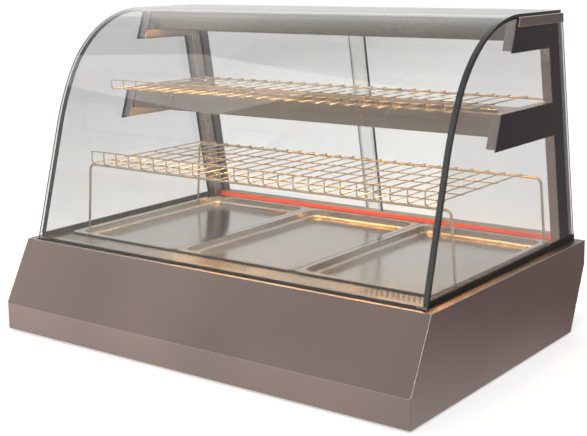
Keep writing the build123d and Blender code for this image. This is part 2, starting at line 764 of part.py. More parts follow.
def hood_cap():
    """Cover over the top beam, with a flange down outside each side glass."""
    front = TOP_ARM_NOSE + COVER_LIP
    rear = column_depth(TOP_ARM_TOP, COLUMN_TOTAL)
    edge = GLASS_OUT + SLIP
    cap = block((-edge - CAP_SHEET, edge + CAP_SHEET), (front, rear),
                (TOP_ARM_TOP, TOP_ARM_TOP + CAP_SHEET))
    low = TOP_ARM_TOP - CAP_FLANGE
    flange = face_of([
        (front, TOP_ARM_TOP),
        (nose_depth(TOP_ARM_TOP, front, low, 0), low),
        (column_depth(low, COLUMN_TOTAL), low),
        (rear, TOP_ARM_TOP),
    ])
    side = along_x(flange, edge, edge + CAP_SHEET)
    return cap + side + mirrored(side)


def glass_buffers():
    """Four rubber pads on the hood that the closed front glass rests over."""
    base = TOP_ARM_TOP + CAP_SHEET
    height = GLASS_TOP - FRONT_GLASS - SLIP - base
    pads = []
    near = (TOP_ARM_NOSE + GLASS_BACK) / 2 - BUFFER_RADIUS * 6
    for x in (-HALF / 2 - BUFFER_RADIUS, HALF / 2 + BUFFER_RADIUS):
        for depth in (near, GLASS_BACK - BUFFER_RADIUS * 3):
            y, z = at(depth, base + height / 2)
            pads.append(Pos(x, y, z) * Cylinder(BUFFER_RADIUS, height))
    return pads


def lamp_axis(top, nose):
    """Depth and height of a beam's lamp axis."""
    return beam_front(nose) + LAMP_SETBACK, top - LAMP_DROP


def lamps(top, nose):
    """Two quartz heat lamps with flattened end caps, in line along the beam."""
    y, z = at(*lamp_axis(top, nose))
    half = LAMP_LENGTH / 2
    tubes = []
    for x in (-LAMP_SPREAD, LAMP_SPREAD):
        tube = along_x(Pos(y, z) * Circle(LAMP_RADIUS), x - half, x + half)
        for end in (x - half, x + half - LAMP_CAP):
            cap = Pos(y, z) * Rectangle(LAMP_CAP_DEPTH, LAMP_CAP_HEIGHT)
            tube += along_x(cap, end, end + LAMP_CAP)
        tubes.append(tube)
    return tubes


def lamp_holders(top, nose):
    """Four ceramic holders that hang the lamps' ends from the beam."""
    depth, height = lamp_axis(top, nose)
    roof = top - BEAM_SHEET
    holders = []
    for x in (-LAMP_SPREAD, LAMP_SPREAD):
        for end in (x - LAMP_LENGTH / 2, x + LAMP_LENGTH / 2):
            start = end - HOLDER_WIDTH if end < x else end
            holders.append(block((start, start + HOLDER_WIDTH),
                                 (depth - HOLDER_LENGTH / 2, depth + HOLDER_LENGTH / 2),
                                 (height - LAMP_RADIUS - HOLDER_BELOW, roof)))
    return holders


def reflector(top, nose):
    """Polished trough over the lamps of one beam, between the holders."""
    y, z = at(*lamp_axis(top, nose))
    ring = Circle(REFLECTOR_RADIUS) - Circle(REFLECTOR_RADIUS - REFLECTOR_SHEET)
    half = ring - Pos(0, -REFLECTOR_RADIUS) * Rectangle(REFLECTOR_RADIUS * 3,
                                                        REFLECTOR_RADIUS * 2)
    roof = at(0, top - BEAM_SHEET)[1]
    half += Pos(0, (roof - z + REFLECTOR_RADIUS - REFLECTOR_SHEET) / 2) * Rectangle(
        REFLECTOR_RIB, roof - z - REFLECTOR_RADIUS + REFLECTOR_SHEET)
    troughs = []
    reach = LAMP_LENGTH / 2 - HOLDER_WIDTH
    for x in (-LAMP_SPREAD, LAMP_SPREAD):
        troughs.append(along_x(Pos(y, z) * half, x - reach, x + reach))
    return troughs


def lean_face(near, far, low, high):
    """Side-plane face between two lines parallel to the column, cut off at two heights."""
    return face_of([
        (column_depth(low, near), low),
        (column_depth(high, near), high),
        (column_depth(high, far), high),
        (column_depth(low, far), low),
    ])


def door_depth(index):
    """Depth of a door's glass behind the column's front edge: 0 is the inner door."""
    return DOOR_FRONT + index * DOOR_PITCH


def door_low():
    """Height of the doors' lower edge, in the bottom track's groove."""
    return DECK_TOP + TRACK_HEIGHT - TRACK_GROOVE + DOOR_PLAY


def door_high():
    """Height of the doors' upper edge, in the top track's deeper groove."""
    return TOP_ARM_TOP - TOP_TRACK_HEIGHT + TOP_TRACK_GROOVE - DOOR_LIFT


def grooves(low, high):
    """The two door grooves of a track."""
    room = DOOR_PLAY
    cuts = []
    for index in range(2):
        near = door_depth(index)
        cuts.append(along_x(lean_face(near - room, near + DOOR_GLASS + room, low, high),
                            -HALF, HALF))
    return cuts


def track(low, high, groove_low, groove_high):
    """Extruded double track that leans with the doors."""
    near = DOOR_FRONT - TRACK_MARGIN
    far = door_depth(1) + DOOR_GLASS + TRACK_MARGIN
    rail = along_x(lean_face(near, far, low, high), -BEAM_HALF, BEAM_HALF)
    return rail - grooves(groove_low, groove_high)


def bottom_track():
    """Track on the deck that the doors stand in."""
    top = DECK_TOP + TRACK_HEIGHT
    return track(DECK_TOP, top, top - TRACK_GROOVE, top + 1)


def top_track():
    """Track under the hood, with deeper grooves so that the doors lift out."""
    low = TOP_ARM_TOP - TOP_TRACK_HEIGHT
    return track(low, TOP_ARM_TOP, low - 1, low + TOP_TRACK_GROOVE)


def sill_strip():
    """Red heat-resistant strip along the front of the bottom track."""
    near = DOOR_FRONT - TRACK_MARGIN - SILL_STRIP
    face = lean_face(near, near + SILL_STRIP, DECK_TOP, DECK_TOP + SILL_HEIGHT)
    return along_x(face, -BEAM_HALF, BEAM_HALF)


def door_span(index):
    """X of a door's two ends: door 0 is the left one."""
    outer = BEAM_HALF - DOOR_PLAY
    return (-outer, DOOR_OVERLAP) if index == 0 else (-DOOR_OVERLAP, outer)


def door_edges(index):
    """Two upright U profiles on a door's edges, a meeting edge and a pull edge."""
    near = door_depth(index)
    start, end = door_span(index)
    low = DECK_TOP + TRACK_HEIGHT + DOOR_PLAY
    high = TOP_ARM_TOP - TOP_TRACK_HEIGHT - DOOR_PLAY
    face = lean_face(near - DOOR_EDGE_WALL, near + DOOR_GLASS + DOOR_EDGE_WALL, low, high)
    groove = lean_face(near, near + DOOR_GLASS, low - 1, high + 1)
    edges = []
    for side, inner in ((start, start + DOOR_EDGE_WALL), (end - DOOR_EDGE, end - DOOR_EDGE)):
        profile = along_x(face, side, side + DOOR_EDGE)
        edges.append(profile - along_x(groove, inner, inner + DOOR_EDGE - DOOR_EDGE_WALL))
    return edges


def door_pane(index):
    """One rear door's glass, running in both tracks."""
    near = door_depth(index)
    start, end = door_span(index)
    face = lean_face(near, near + DOOR_GLASS, door_low(), door_high())
    return along_x(face, start + DOOR_EDGE_WALL, end - DOOR_EDGE_WALL)


def wire_along(points, radius, bend):
    """Round wire bent along points."""
    path = FilletPolyline(*points, radius=bend)
    return sweep(Plane(path @ 0, z_dir=path % 0) * Circle(radius), path)


def straight_wire(depth, height, radius, start, end):
    """Round wire along X."""
    return along_x(Pos(*at(depth, height)) * Circle(radius), start, end)


def grid(front, rear, level, fence, longs):
    """Wire grid: cross wires turned up at the front into a fence, and long wires under them."""
    radius = WIRE / 2
    low = at(front, level)
    back = at(rear, level)
    top = at(front, level + fence)
    cross = wire_along([(0, *back), (0, *low), (0, *top)], radius, WIRE_BEND)
    last = WIRE_START + WIRE_PITCH * (WIRE_COUNT - 1)
    ends = (WIRE_START - radius, last + radius)
    wires = [Pos(WIRE_START + i * WIRE_PITCH, 0, 0) * cross for i in range(WIRE_COUNT)]
    wires.append(straight_wire(front + WIRE - WIRE_WELD, level + fence - radius, radius, *ends))
    for depth in longs:
        wires.append(straight_wire(depth, level - WIRE + WIRE_WELD, radius, *ends))
    body = wires[0]
    return body.fuse(*wires[1:])


def rack_grid():
    """Grid of the lower rack."""
    level = RACK_ROD_Z + RACK_ROD / 2 + WIRE / 2
    longs = [RACK_FRONT + RACK_LONG_START + i * RACK_LONG_PITCH for i in range(RACK_LONG_COUNT)]
    front = RACK_FRONT - RACK_ROD / 2 - WIRE
    return grid(front, RACK_FRONT + RACK_DEPTH + WIRE_TAIL, level, RACK_FENCE, longs)


def rack_rods():
    """Front and rear rods of the lower rack, each bent down into two splayed legs."""
    foot = DECK_TOP + SLIP
    rods = []
    for depth in (RACK_FRONT, RACK_FRONT + RACK_DEPTH):
        y, z = at(depth, RACK_ROD_Z)
        ground = at(0, foot)[1]
        outer = FRAME_IN + LEG_SPLAY
        points = [(-outer, y, ground), (-FRAME_IN, y, z), (FRAME_IN, y, z), (outer, y, ground)]
        rod = wire_along(points, RACK_ROD / 2, LEG_BEND)
        rods.append(rod)
    return rods


def shelf_grid():
    """Grid of the upper shelf, which reaches forward over the mid beam."""
    level = SHELF_ROD_Z + SHELF_ROD / 2 + WIRE / 2
    longs = [SHELF_FRONT + SHELF_LONG_START + i * SHELF_LONG_PITCH
             for i in range(SHELF_LONG_COUNT)]
    return grid(SHELF_FRONT, shelf_rod_depths()[1] + WIRE_TAIL, level, SHELF_FENCE, longs)


def shelf_rod_depths():
    """Depths of the shelf's two rods: over the mid beam, and on the columns' pegs."""
    return SHELF_FRONT + SHELF_ROD_SETBACK, column_depth(MID_ARM_TOP, SHELF_ROD_BEHIND)


def shelf_rods():
    """Two rods that carry the shelf on the mid beam and on the pegs."""
    reach = BEAM_HALF - SHELF_ROD_END
    return [straight_wire(depth, SHELF_ROD_Z, SHELF_ROD / 2, -reach, reach)
            for depth in shelf_rod_depths()]


def shelf_pegs():
    """Two pegs on the columns under the shelf's rear rod."""
    depth = shelf_rod_depths()[1]
    height = MID_ARM_TOP - PEG_RADIUS
    peg = straight_wire(depth, height, PEG_RADIUS, FRAME_IN - PEG_LENGTH, FRAME_IN)
    return [peg, mirrored(peg)]


def fan_height():
    """Height of the fans' axes, midway between the air box's floor and the pans."""
    return (AIR_BOX_FLOOR + BASE_HEIGHT - PAN_DEPTH) / 2


def air_box():
    """Open tray under the pans that leads warm air forward to the vents, hung from the bars."""
    front = STRIP_FRONT + DECK_SHEET + SLIP
    high = PAN_SEAT + PAN_LIP - PAN_DEPTH - SLIP * 2
    inside = AIR_BOX_HALF - AIR_BOX_SHEET
    box = block((-AIR_BOX_HALF, AIR_BOX_HALF), (front, AIR_BOX_BACK), (AIR_BOX_FLOOR, high))
    box -= block((-inside, inside), (front + AIR_BOX_SHEET, AIR_BOX_BACK - AIR_BOX_SHEET),
                 (AIR_BOX_FLOOR + AIR_BOX_SHEET, high))
    y, z = at(AIR_BOX_BACK, fan_height())
    for x in (-FAN_SPREAD, FAN_SPREAD):
        box -= Pos(x, y, z) * across(FAN_SIZE / 2 - FAN_TIP_GAP, AIR_BOX_SHEET * 4)
        for side in (-HEATER_HALF, HEATER_HALF):
            box -= Pos(x + side, y, z) * across(HEATER_TUBE, AIR_BOX_SHEET * 4)
    for x in pan_webs():
        box += block((x - BAR_HALF, x + BAR_HALF), (AIR_BOX_BACK - AIR_BOX_SHEET, AIR_BOX_BACK),
                     (high, DECK_TOP - BAR_DROP))
    return box


def across(radius, length):
    """Cylinder about the origin that lies front to back."""
    return Rot(90, 0, 0) * Cylinder(radius, length)


def fan_ring(x):
    """Square fan frame behind the air box, with its motor hub on four arms."""
    ring = Box(FAN_SIZE, FAN_THICK, FAN_SIZE) - across(FAN_SIZE / 2 - FAN_TIP_GAP, FAN_THICK)
    arms = across(FAN_HUB, FAN_ARM_THICK)
    for turn in (0, 90):
        arms += Rot(0, turn, 0) * Box(FAN_SIZE - FAN_TIP_GAP, FAN_ARM_THICK, FAN_ARM_WIDTH)
    arms = Pos(0, (FAN_THICK - FAN_ARM_THICK) / 2, 0) * arms
    y, z = at(AIR_BOX_BACK + FAN_THICK / 2, fan_height())
    return Pos(x, y, z) * (ring + arms + across(SHAFT_RADIUS, SPINDLE_LENGTH))


def fan_rotor(x):
    """Fan rotor: a hub turning on the spindle, and pitched blades."""
    hub = across(FAN_HUB, HUB_LENGTH)
    reach = FAN_SIZE / 2 - FAN_TIP_GAP * 2 - FAN_HUB
    blade = Rot(BLADE_PITCH, 0, 0) * Box(reach + BLADE_SHEET, BLADE_CHORD, BLADE_SHEET)
    blade = Pos(FAN_HUB + (reach - BLADE_SHEET) / 2, 0, 0) * blade
    for i in range(FAN_BLADES):
        hub += Rot(0, i * 360 / FAN_BLADES, 0) * blade
    hub -= across(SHAFT_RADIUS + SHAFT_PLAY, HUB_LENGTH)
    depth = AIR_BOX_BACK + FAN_THICK - FAN_ARM_THICK - HUB_LENGTH / 2 - FAN_TIP_GAP
    return Pos(x, *at(depth, fan_height())) * hub


def heater(x):
    """Hairpin heating element in the air box, its two ends through the rear wall."""
    z = at(0, fan_height())[1]
    near = at(AIR_BOX_BACK - HEATER_REACH, 0)[0]
    far = at(AIR_BOX_BACK, 0)[0] + FAN_THICK
    points = [(x - HEATER_HALF, far, z), (x - HEATER_HALF, near, z), (x + HEATER_HALF, near, z),
              (x + HEATER_HALF, far, z)]
    return wire_along(points, HEATER_TUBE, HEATER_BEND)


def thermostat():
    """Thermostat body behind the rear panel, with a bore for the knob's shaft."""
    plane = rear_plane(KNOB_X, CONTROL_DOWN).offset(-SHEET)
    outline = RectangleRounded(THERMOSTAT_SIZE, THERMOSTAT_SIZE, THERMOSTAT_CORNER)
    body = extrude(plane * outline, -THERMOSTAT_DEPTH)
    return body - extrude(plane * Circle(SHAFT_RADIUS + SHAFT_PLAY), -THERMOSTAT_DEPTH / 2)


def thermostat_knob():
    """Knob with a skirt and a grip ridge, and the shaft that turns in the thermostat."""
    plane = rear_plane(KNOB_X, CONTROL_DOWN).offset(SLIP * 2)
    knob = extrude(plane * Circle(KNOB_RADIUS), KNOB_SKIRT)
    knob += extrude(plane * Circle(KNOB_GRIP_RADIUS), KNOB_GRIP_HEIGHT, taper=KNOB_TAPER)
    knob += extrude(plane * Rectangle(KNOB_RIDGE, KNOB_RIDGE_LENGTH), KNOB_HEIGHT)
    return knob + extrude(plane * Circle(SHAFT_RADIUS), -SHAFT_DEPTH)


def switch_body(x):
    """Switch housing through the rear panel, with its bezel and the rocker's well."""
    plane = rear_plane(x, CONTROL_DOWN)
    bezel = Rectangle(SWITCH_WIDTH + 2 * SWITCH_BEZEL, SWITCH_LENGTH + 2 * SWITCH_BEZEL)
    body = extrude(plane * bezel, SWITCH_BEZEL_HEIGHT)
    body += extrude(plane * Rectangle(SWITCH_WIDTH, SWITCH_LENGTH), -SWITCH_DEPTH)
    room = Rectangle(SWITCH_WIDTH - 2 * SWITCH_WALL, SWITCH_LENGTH - 2 * SWITCH_WALL)
    body -= extrude(plane.offset(-WELL_DEPTH) * room, WELL_DEPTH + SWITCH_BEZEL_HEIGHT)
    pivot = Circle(ROCKER_PIN + PIN_PLAY)
    return body - extrude(cross_plane(x) * pivot, SWITCH_WIDTH, both=True)


def cross_plane(x):
    """Plane across a switch, facing along X, with its own Y pointing out of the rear panel."""
    plane = rear_plane(x, CONTROL_DOWN)
    return Plane(origin=plane.origin, x_dir=plane.y_dir, z_dir=plane.x_dir)


def rocker(x):
    """Switch rocker: a shallow V that tips about a cross axis in its well."""
    room = SWITCH_WALL + ROCKER_PLAY
    half = SWITCH_LENGTH / 2 - room
    outline = [
        (-half, -ROCKER_UNDER),
        (-half, ROCKER_END),
        (0, ROCKER_MIDDLE),
        (half, ROCKER_END),
        (half, -ROCKER_UNDER),
        (0, -ROCKER_KEEL),
    ]
    plane = cross_plane(x)
    profile = Rot(0, 0, ROCKER_TILT) * make_face(Polyline(*outline, close=True))
    body = extrude(plane * profile, SWITCH_WIDTH / 2 - room, both=True)
    return body + extrude(plane * Circle(ROCKER_PIN), SWITCH_WIDTH / 2 - SLIP, both=True)


def pilot_lamp():
    """Domed pilot lamp through the rear panel."""
    plane = rear_plane(PILOT_X, CONTROL_DOWN)
    lens = extrude(plane * Circle(PILOT_RADIUS), -PILOT_BODY)
    lens += extrude(plane * Circle(PILOT_RADIUS + PILOT_FLANGE), PILOT_FLANGE)
    dome = extrude(plane.offset(PILOT_FLANGE) * Circle(PILOT_RADIUS), PILOT_FLANGE,
                   taper=PILOT_DOME_TAPER)
    return lens + dome


def cable_gland():
    """Gland for the supply lead: a body through the panel, a hexagon nut and a tapered cap."""
    plane = rear_plane(GLAND_X, CONTROL_DOWN)
    gland = extrude(plane * Circle(GLAND_RADIUS), -GLAND_BODY)
    gland += extrude(plane * RegularPolygon(GLAND_NUT, 6), GLAND_NUT_HEIGHT)
    cap = plane.offset(GLAND_NUT_HEIGHT)
    gland += extrude(cap * Circle(GLAND_RADIUS), GLAND_CAP, taper=GLAND_CAP_TAPER)
    length = GLAND_BODY + GLAND_NUT_HEIGHT + GLAND_CAP
    return gland - extrude(plane.offset(-GLAND_BODY) * Circle(GLAND_RADIUS / 2), length)


def terminal_block():
    """Mains terminal block on the floor sheet, with a slot for each way."""
    near = AIR_BOX_BACK - BLOCK_SETBACK
    middle = near + BLOCK_WIDTH / 2
    ends = (GLAND_X - BLOCK_LENGTH / 2, GLAND_X + BLOCK_LENGTH / 2)
    body = block(ends, (near, near + BLOCK_WIDTH), (SHEET * 2, SHEET * 2 + BLOCK_HEIGHT))
    for i in range(BLOCK_WAYS):
        x = GLAND_X + (i - (BLOCK_WAYS - 1) / 2) * BLOCK_PITCH
        body -= block((x - BLOCK_SLOT / 2, x + BLOCK_SLOT / 2),
                      (middle - BLOCK_SLOT / 2, middle + BLOCK_SLOT / 2),
                      (BLOCK_SLOT_FLOOR, BLOCK_HEIGHT * 2))
    return body


PIECES = {
    "base_shell": base_shell(),
    "rear_panel": rear_panel(),
    "bottom_plate": bottom_plate(),
    "feet": feet(),
    "deck_plate": deck_plate(),
    "pan_bars": [pan_bar(x) for x in pan_webs()],
    "vent_strip": vent_strip(),
    "frame_right": side_frame(),
    "frame_cover_right": frame_cover(),
    "side_glass_right": side_glass(),
    "side_channel_right": side_channel(),
    "edge_seal_right": edge_seal(),
    "front_glass": front_glass(),
    "hinge_barrel": hinge_barrel(),
    "hinge_pins": hinge_pins(),
    "hinge_bearings": hinge_bearings(),
    "top_beam": top_beam(),
    "mid_beam": mid_beam(),
    "hood_cap": hood_cap(),
    "glass_buffers": glass_buffers(),
    "upper_lamps": lamps(TOP_ARM_TOP, TOP_ARM_NOSE),
    "lower_lamps": lamps(MID_ARM_TOP, MID_ARM_NOSE),
    "upper_lamp_holders": lamp_holders(TOP_ARM_TOP, TOP_ARM_NOSE),
    "lower_lamp_holders": lamp_holders(MID_ARM_TOP, MID_ARM_NOSE),
    "upper_reflectors": reflector(TOP_ARM_TOP, TOP_ARM_NOSE),
    "lower_reflectors": reflector(MID_ARM_TOP, MID_ARM_NOSE),
    "bottom_track": bottom_track(),
    "top_track": top_track(),
    "sill_strip": sill_strip(),
    "rack_grid": rack_grid(),
    "rack_rods": rack_rods(),
    "shelf_grid": shelf_grid(),
    "shelf_rods": shelf_rods(),
    "shelf_pegs": shelf_pegs(),
    "air_box": air_box(),
    "fan_rings": [fan_ring(-FAN_SPREAD), fan_ring(FAN_SPREAD)],
    "heaters": [heater(-FAN_SPREAD), heater(FAN_SPREAD)],
    "fan_rotor_left": fan_rotor(-FAN_SPREAD),
    "fan_rotor_right": fan_rotor(FAN_SPREAD),
    "thermostat": thermostat(),
    "thermostat_knob": thermostat_knob(),
    "switch_bodies": [switch_body(x) for x in switch_places()],
    "pilot_lamp": pilot_lamp(),
    "cable_gland": cable_gland(),
    "terminal_block": terminal_block(),
}

for name in ("frame", "frame_cover", "side_glass", "side_channel", "edge_seal"):
    PIECES[name + "_left"] = mirrored(PIECES[name + "_right"])

for index, name in enumerate(("door_left", "door_right")):
    PIECES[name + "_pane"] = door_pane(index)
    PIECES[name + "_edges"] = door_edges(index)

for name, x in zip(("pan_left", "pan_centre", "pan_right"), pan_centres()):
    PIECES[name] = pan(x)

for name, x in zip(("power_rocker", "lamp_rocker"), switch_places()):
    PIECES[name] = rocker(x)

os.makedirs("parts", exist_ok=True)
for name, piece in PIECES.items():
    solid = Compound(children=piece) if isinstance(piece, list) else piece
    export_step(solid, "parts/" + name + ".step")
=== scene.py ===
from math import pi

import bpy
import numpy as np
from bpy.props import FloatProperty, FloatVectorProperty, IntProperty, PointerProperty
from mathutils import Matrix, Vector


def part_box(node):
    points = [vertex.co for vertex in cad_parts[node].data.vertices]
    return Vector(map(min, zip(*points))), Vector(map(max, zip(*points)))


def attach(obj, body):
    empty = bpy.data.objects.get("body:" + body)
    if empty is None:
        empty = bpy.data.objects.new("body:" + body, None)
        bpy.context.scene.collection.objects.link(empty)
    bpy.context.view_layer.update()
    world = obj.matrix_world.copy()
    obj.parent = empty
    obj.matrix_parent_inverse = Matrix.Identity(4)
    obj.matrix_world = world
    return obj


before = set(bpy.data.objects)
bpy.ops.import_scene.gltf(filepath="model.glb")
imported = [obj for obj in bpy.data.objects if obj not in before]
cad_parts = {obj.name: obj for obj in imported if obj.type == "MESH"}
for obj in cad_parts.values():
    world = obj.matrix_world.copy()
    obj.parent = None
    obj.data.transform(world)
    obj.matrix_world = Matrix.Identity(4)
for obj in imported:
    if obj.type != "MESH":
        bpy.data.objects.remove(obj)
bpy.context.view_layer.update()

# Finishes, fine pieces and stage of a counter-top heated display case. Metres, +Z up, -Y is the
# front. Places come from the frame's own pieces; the sizes a user would change are properties.

bl_info = {
    "name": "Heated display case finish",
    "version": (1, 0, 0),
    "blender": (4, 5, 0),
    "location": "View3D > Sidebar > Display case",
    "description": "Steel, glass, wire and lamp finishes for the heated display case",
    "category": "Object",
}

# How far grinding marks are squeezed along X, Y and Z: the larger, the finer
ALONG_LEVEL = (6.0, 6.0, 1400.0)
ALONG_X = (6.0, 1400.0, 1400.0)
EVEN = (90.0, 90.0, 90.0)
UPRIGHT = (45.0, 3.0, 3.0)

# Sheet steels: material, nodes, settings of the two tones, grain, how much smoother than the
# ground sheet, and share of the edge radius that shows, rounded and with a painted highlight
SHEETS = (
    ("satin_steel", ("base_shell", "rear_panel", "hood_cap"), "satin", "shade", ALONG_LEVEL,
     0.0, 1.0),
    ("deck_steel", ("deck_plate", "pan_bars"), "deck", "frames", ALONG_X, 0.1, 0.0),
    ("pan_steel", ("pan_left", "pan_centre", "pan_right"), "pan", "deck", EVEN, 0.17, 0.0),
    ("frame_steel", ("frame_left", "frame_right"), "frames", "shade", ALONG_LEVEL, 0.06, 0.5),
    ("top_beam_steel", ("top_beam",), "top_beam", "mid_beam", ALONG_X, 0.08, 0.0),
    ("mid_beam_steel", ("mid_beam",), "mid_beam", "frames", UPRIGHT, 0.08, 0.0),
    ("vent_steel", ("vent_strip",), "deck", "frames", ALONG_X, 0.1, 0.0),
)

WIRE_NODES = ("rack_grid", "rack_rods", "shelf_grid", "shelf_rods")

# Panes: nodes, settings of their tone and mirror shine, and the axes that cross ground edges
PANES = (
    (("front_glass",), "body", "front_shine", (0,)),
    (("side_glass_left", "side_glass_right"), "side", "side_shine", (1,)),
    (("door_left_pane", "door_right_pane"), "body", "door_shine", ()),
)
DOOR_EDGE_NODES = ("door_left_edges", "door_right_edges")

# Refraction of glass, of the doors' clear profiles and of quartz, and the profiles' shine
GLASS_BEND = 1.45
PROFILE_BEND = 1.04
QUARTZ_BEND = 1.3
PROFILE_SHINE = 0.1

# Small finishes: material and setting of its colour, nodes, and look
SMALL_FINISHES = (
    ("black_cover", ("frame_cover_left", "frame_cover_right"),
     dict(roughness=0.4, speckle=0.3, shine=0.03)),
    ("black_rubber", ("feet", "edge_seal_left", "edge_seal_right", "glass_buffers"),
     dict(roughness=0.7, speckle=0.6, shine=0.15)),
    ("red_silicone", ("sill_strip",), dict(roughness=0.5, speckle=0.12)),
    ("dark_profile", ("side_channel_left", "side_channel_right", "hinge_barrel"),
     dict(roughness=0.4, speckle=0.3, shine=0.3)),
    ("anodised", ("bottom_track", "top_track"), dict(roughness=0.34, speckle=0.08, metallic=1.0)),
    ("screw_steel", ("hinge_bearings", "hinge_pins", "shelf_pegs"),
     dict(roughness=0.3, speckle=0.1, metallic=1.0)),
    # Galvanised grey of the bottom plate and air box, darkened as painted shade so that the vent
    # holes over it read dark.
    ("galvanised", ("bottom_plate", "air_box"),
     dict(roughness=0.5, speckle=0.2, metallic=0.9, scale=25.0)),
    ("black_plastic", ("thermostat", "thermostat_knob", "switch_bodies", "cable_gland",
                       "fan_rings", "fan_rotor_left", "fan_rotor_right"),
     dict(roughness=0.45, speckle=0.4)),
    ("rocker_plastic", ("power_rocker", "lamp_rocker"), dict(roughness=0.3, speckle=0.2)),
    ("white_ceramic", ("upper_lamp_holders", "lower_lamp_holders", "terminal_block"),
     dict(roughness=0.4, speckle=0.06)),
    ("bright_reflector", ("upper_reflectors", "lower_reflectors"),
     dict(roughness=0.16, speckle=0.04, metallic=1.0)),
    ("pilot_amber", ("pilot_lamp",), dict(roughness=0.2, speckle=0.1)),
)

# Cold colours of the hot wires, under their glow
FILAMENT_METAL = (0.2, 0.1, 0.05)
ELEMENT_SHEATH = (0.2, 0.12, 0.08)

# Range of a mask, and ranges that hold most and the middle of a noise texture's values
FULL = (0.0, 1.0)
MOST = (0.3, 0.7)
MIDDLE = (0.35, 0.65)

# Tones of the floor and the sky in glass and metal: change along X, Y and Z, tone in the middle,
# and the lowest and highest tone
FLOOR_THROUGH_GLASS = ((0.09, 0.02, 0.0), 0.46, (0.1, 0.42))
FLOOR_MIRRORED = ((-0.25, -0.65, 0.0), 0.92, (0.4, 1.45))
SKY_MIRRORED = ((-0.33, -0.1, 0.0), 0.68, (0.4, 1.05))
WHITE = (1.0, 1.0, 1.0, 1.0)
DARK_FLOOR_TINT = (1.0, 0.84, 0.85, 1.0)

# Places of the studio lights, the point they look at, and their width
KEY_PLACE = (1.5, -3.0, 2.6)
FILL_PLACE = (-2.4, -1.6, 2.6)
LIGHT_TARGET = (0.0, 0.0, 0.3)
LIGHT_WIDTH = 1.6

# The photograph's focal length and width in its pixels, and the sensor's width in millimetres
PHOTO_FOCAL = 1186.19
PHOTO_WIDTH = 587.0
SENSOR_WIDTH = 36.0


def colour(label, about, value):
    """Colour property with its name, description and default."""
    return FloatVectorProperty(name=label, description=about, default=value, size=3,
                               subtype="COLOR", min=0.0, max=1.0)


def length(label, about, value):
    """Length property in metres."""
    return FloatProperty(name=label, description=about, default=value, min=0.0,
                         subtype="DISTANCE", unit="LENGTH")


def share(label, about, value):
    """Property between 0 and 1."""
    return FloatProperty(name=label, description=about, default=value, min=0.0, max=1.0,
                         subtype="FACTOR")


def strength(label, about, value):
    """Lamp power or emission strength."""
    return FloatProperty(name=label, description=about, default=value, min=0.0)


class CaseSteelSettings(bpy.types.PropertyGroup):
    """Sheet steel of the base, deck, pans, frames and beams."""

    satin: colour("Satin steel", "Ground sheet of the base", (0.27, 0.21, 0.183))
    shade: colour("Satin shade", "Darker drift of the ground sheet", (0.215, 0.165, 0.150))
    deck: colour("Deck steel", "Bright satin sheet of the deck", (0.42, 0.355, 0.285))
    pan: colour("Pan steel", "Pressed pans", (0.47, 0.445, 0.415))
    frames: colour("Frame steel", "Side frames", (0.205, 0.18, 0.155))
    top_beam: colour("Top beam steel", "Beam under the hood", (0.10, 0.085, 0.065))
    mid_beam: colour("Mid beam steel", "Beam over the rack", (0.20, 0.155, 0.115))
    # Painted shade: the colour that the vent holes' walls take under the deck's top, so that the
    # holes read dark.
    vents: colour("Vent shade", "Browned walls of the vent holes", (0.05, 0.028, 0.014))
    vent_depth: length("Vent depth", "Depth at which the holes' walls darken", 0.0006)
    roughness: share("Roughness", "Roughness of the ground sheet", 0.34)
    grain: length("Grain", "Depth of the grinding marks", 0.00001)
    edge: length("Edge", "Radius that bent and cut edges show", 0.0016)
    # Painted highlight: the bright colour that the rounded edges take, as if they caught the
    # light.
    edge_highlight: colour("Worn edge", "Bright steel of the rubbed edges", (0.80, 0.78, 0.80))


class CaseWireSettings(bpy.types.PropertyGroup):
    """Plated wire of the rack and the shelf."""

    plating: colour("Plating", "Colour of the plated wire", (0.50, 0.41, 0.29))


class CaseGlassSettings(bpy.types.PropertyGroup):
    """Toughened glass panes and the doors' clear profiles."""

    body: colour("Glass", "What a pane lets through", (0.90, 0.905, 0.895))
    side: colour("Side glass", "What the side panes let through", (0.77, 0.775, 0.77))
    profile: colour("Clear profile", "What the doors' profiles let through", (0.97, 0.97, 0.97))
    edge: colour("Glass edge", "Colour of the ground edges", (0.008, 0.014, 0.013))
    edge_depth: length("Edge depth", "How far the edge colour reaches in", 0.0009)
    front_shine: share("Front shine", "Mirror shine of the front glass", 0.08)
    side_shine: share("Side shine", "Mirror shine of the side panes", 0.02)
    door_shine: share("Door shine", "Mirror shine of the doors' panes", 0.5)


class CaseSmallSettings(bpy.types.PropertyGroup):
    """Colours of the covers, seals, profiles, plastics and ceramics."""

    black_cover: colour("Covers", "Plates outside the frames", (0.006, 0.006, 0.022))
    black_rubber: colour("Rubber", "Feet, seals and buffers", (0.006, 0.006, 0.006))
    red_silicone: colour("Silicone", "Strip along the sill", (0.45, 0.04, 0.02))
    dark_profile: colour("Dark profiles", "Glass channels and barrel", (0.008, 0.008, 0.009))
    anodised: colour("Anodised", "Tracks of the doors", (0.42, 0.41, 0.40))
    screw_steel: colour("Screw steel", "Screws, pins and pegs", (0.52, 0.51, 0.49))
    # Own grey of galvanised steel, darkened as painted shade under the vent holes.
    galvanised: colour("Galvanised", "Bottom plate and air box", (0.24, 0.24, 0.245))
    black_plastic: colour("Plastic", "Controls and fans", (0.018, 0.018, 0.018))
    rocker_plastic: colour("Rockers", "Rockers of the switches", (0.03, 0.03, 0.03))
    white_ceramic: colour("Ceramic", "Lamp holders and terminals", (0.72, 0.70, 0.64))
    bright_reflector: colour("Reflectors", "Troughs over the lamps", (0.78, 0.77, 0.74))
    pilot_amber: colour("Pilot lamp", "Amber lens", (0.75, 0.30, 0.03))
    dial_paint: colour("Dial paint", "Dots of the dial", (0.75, 0.74, 0.70))


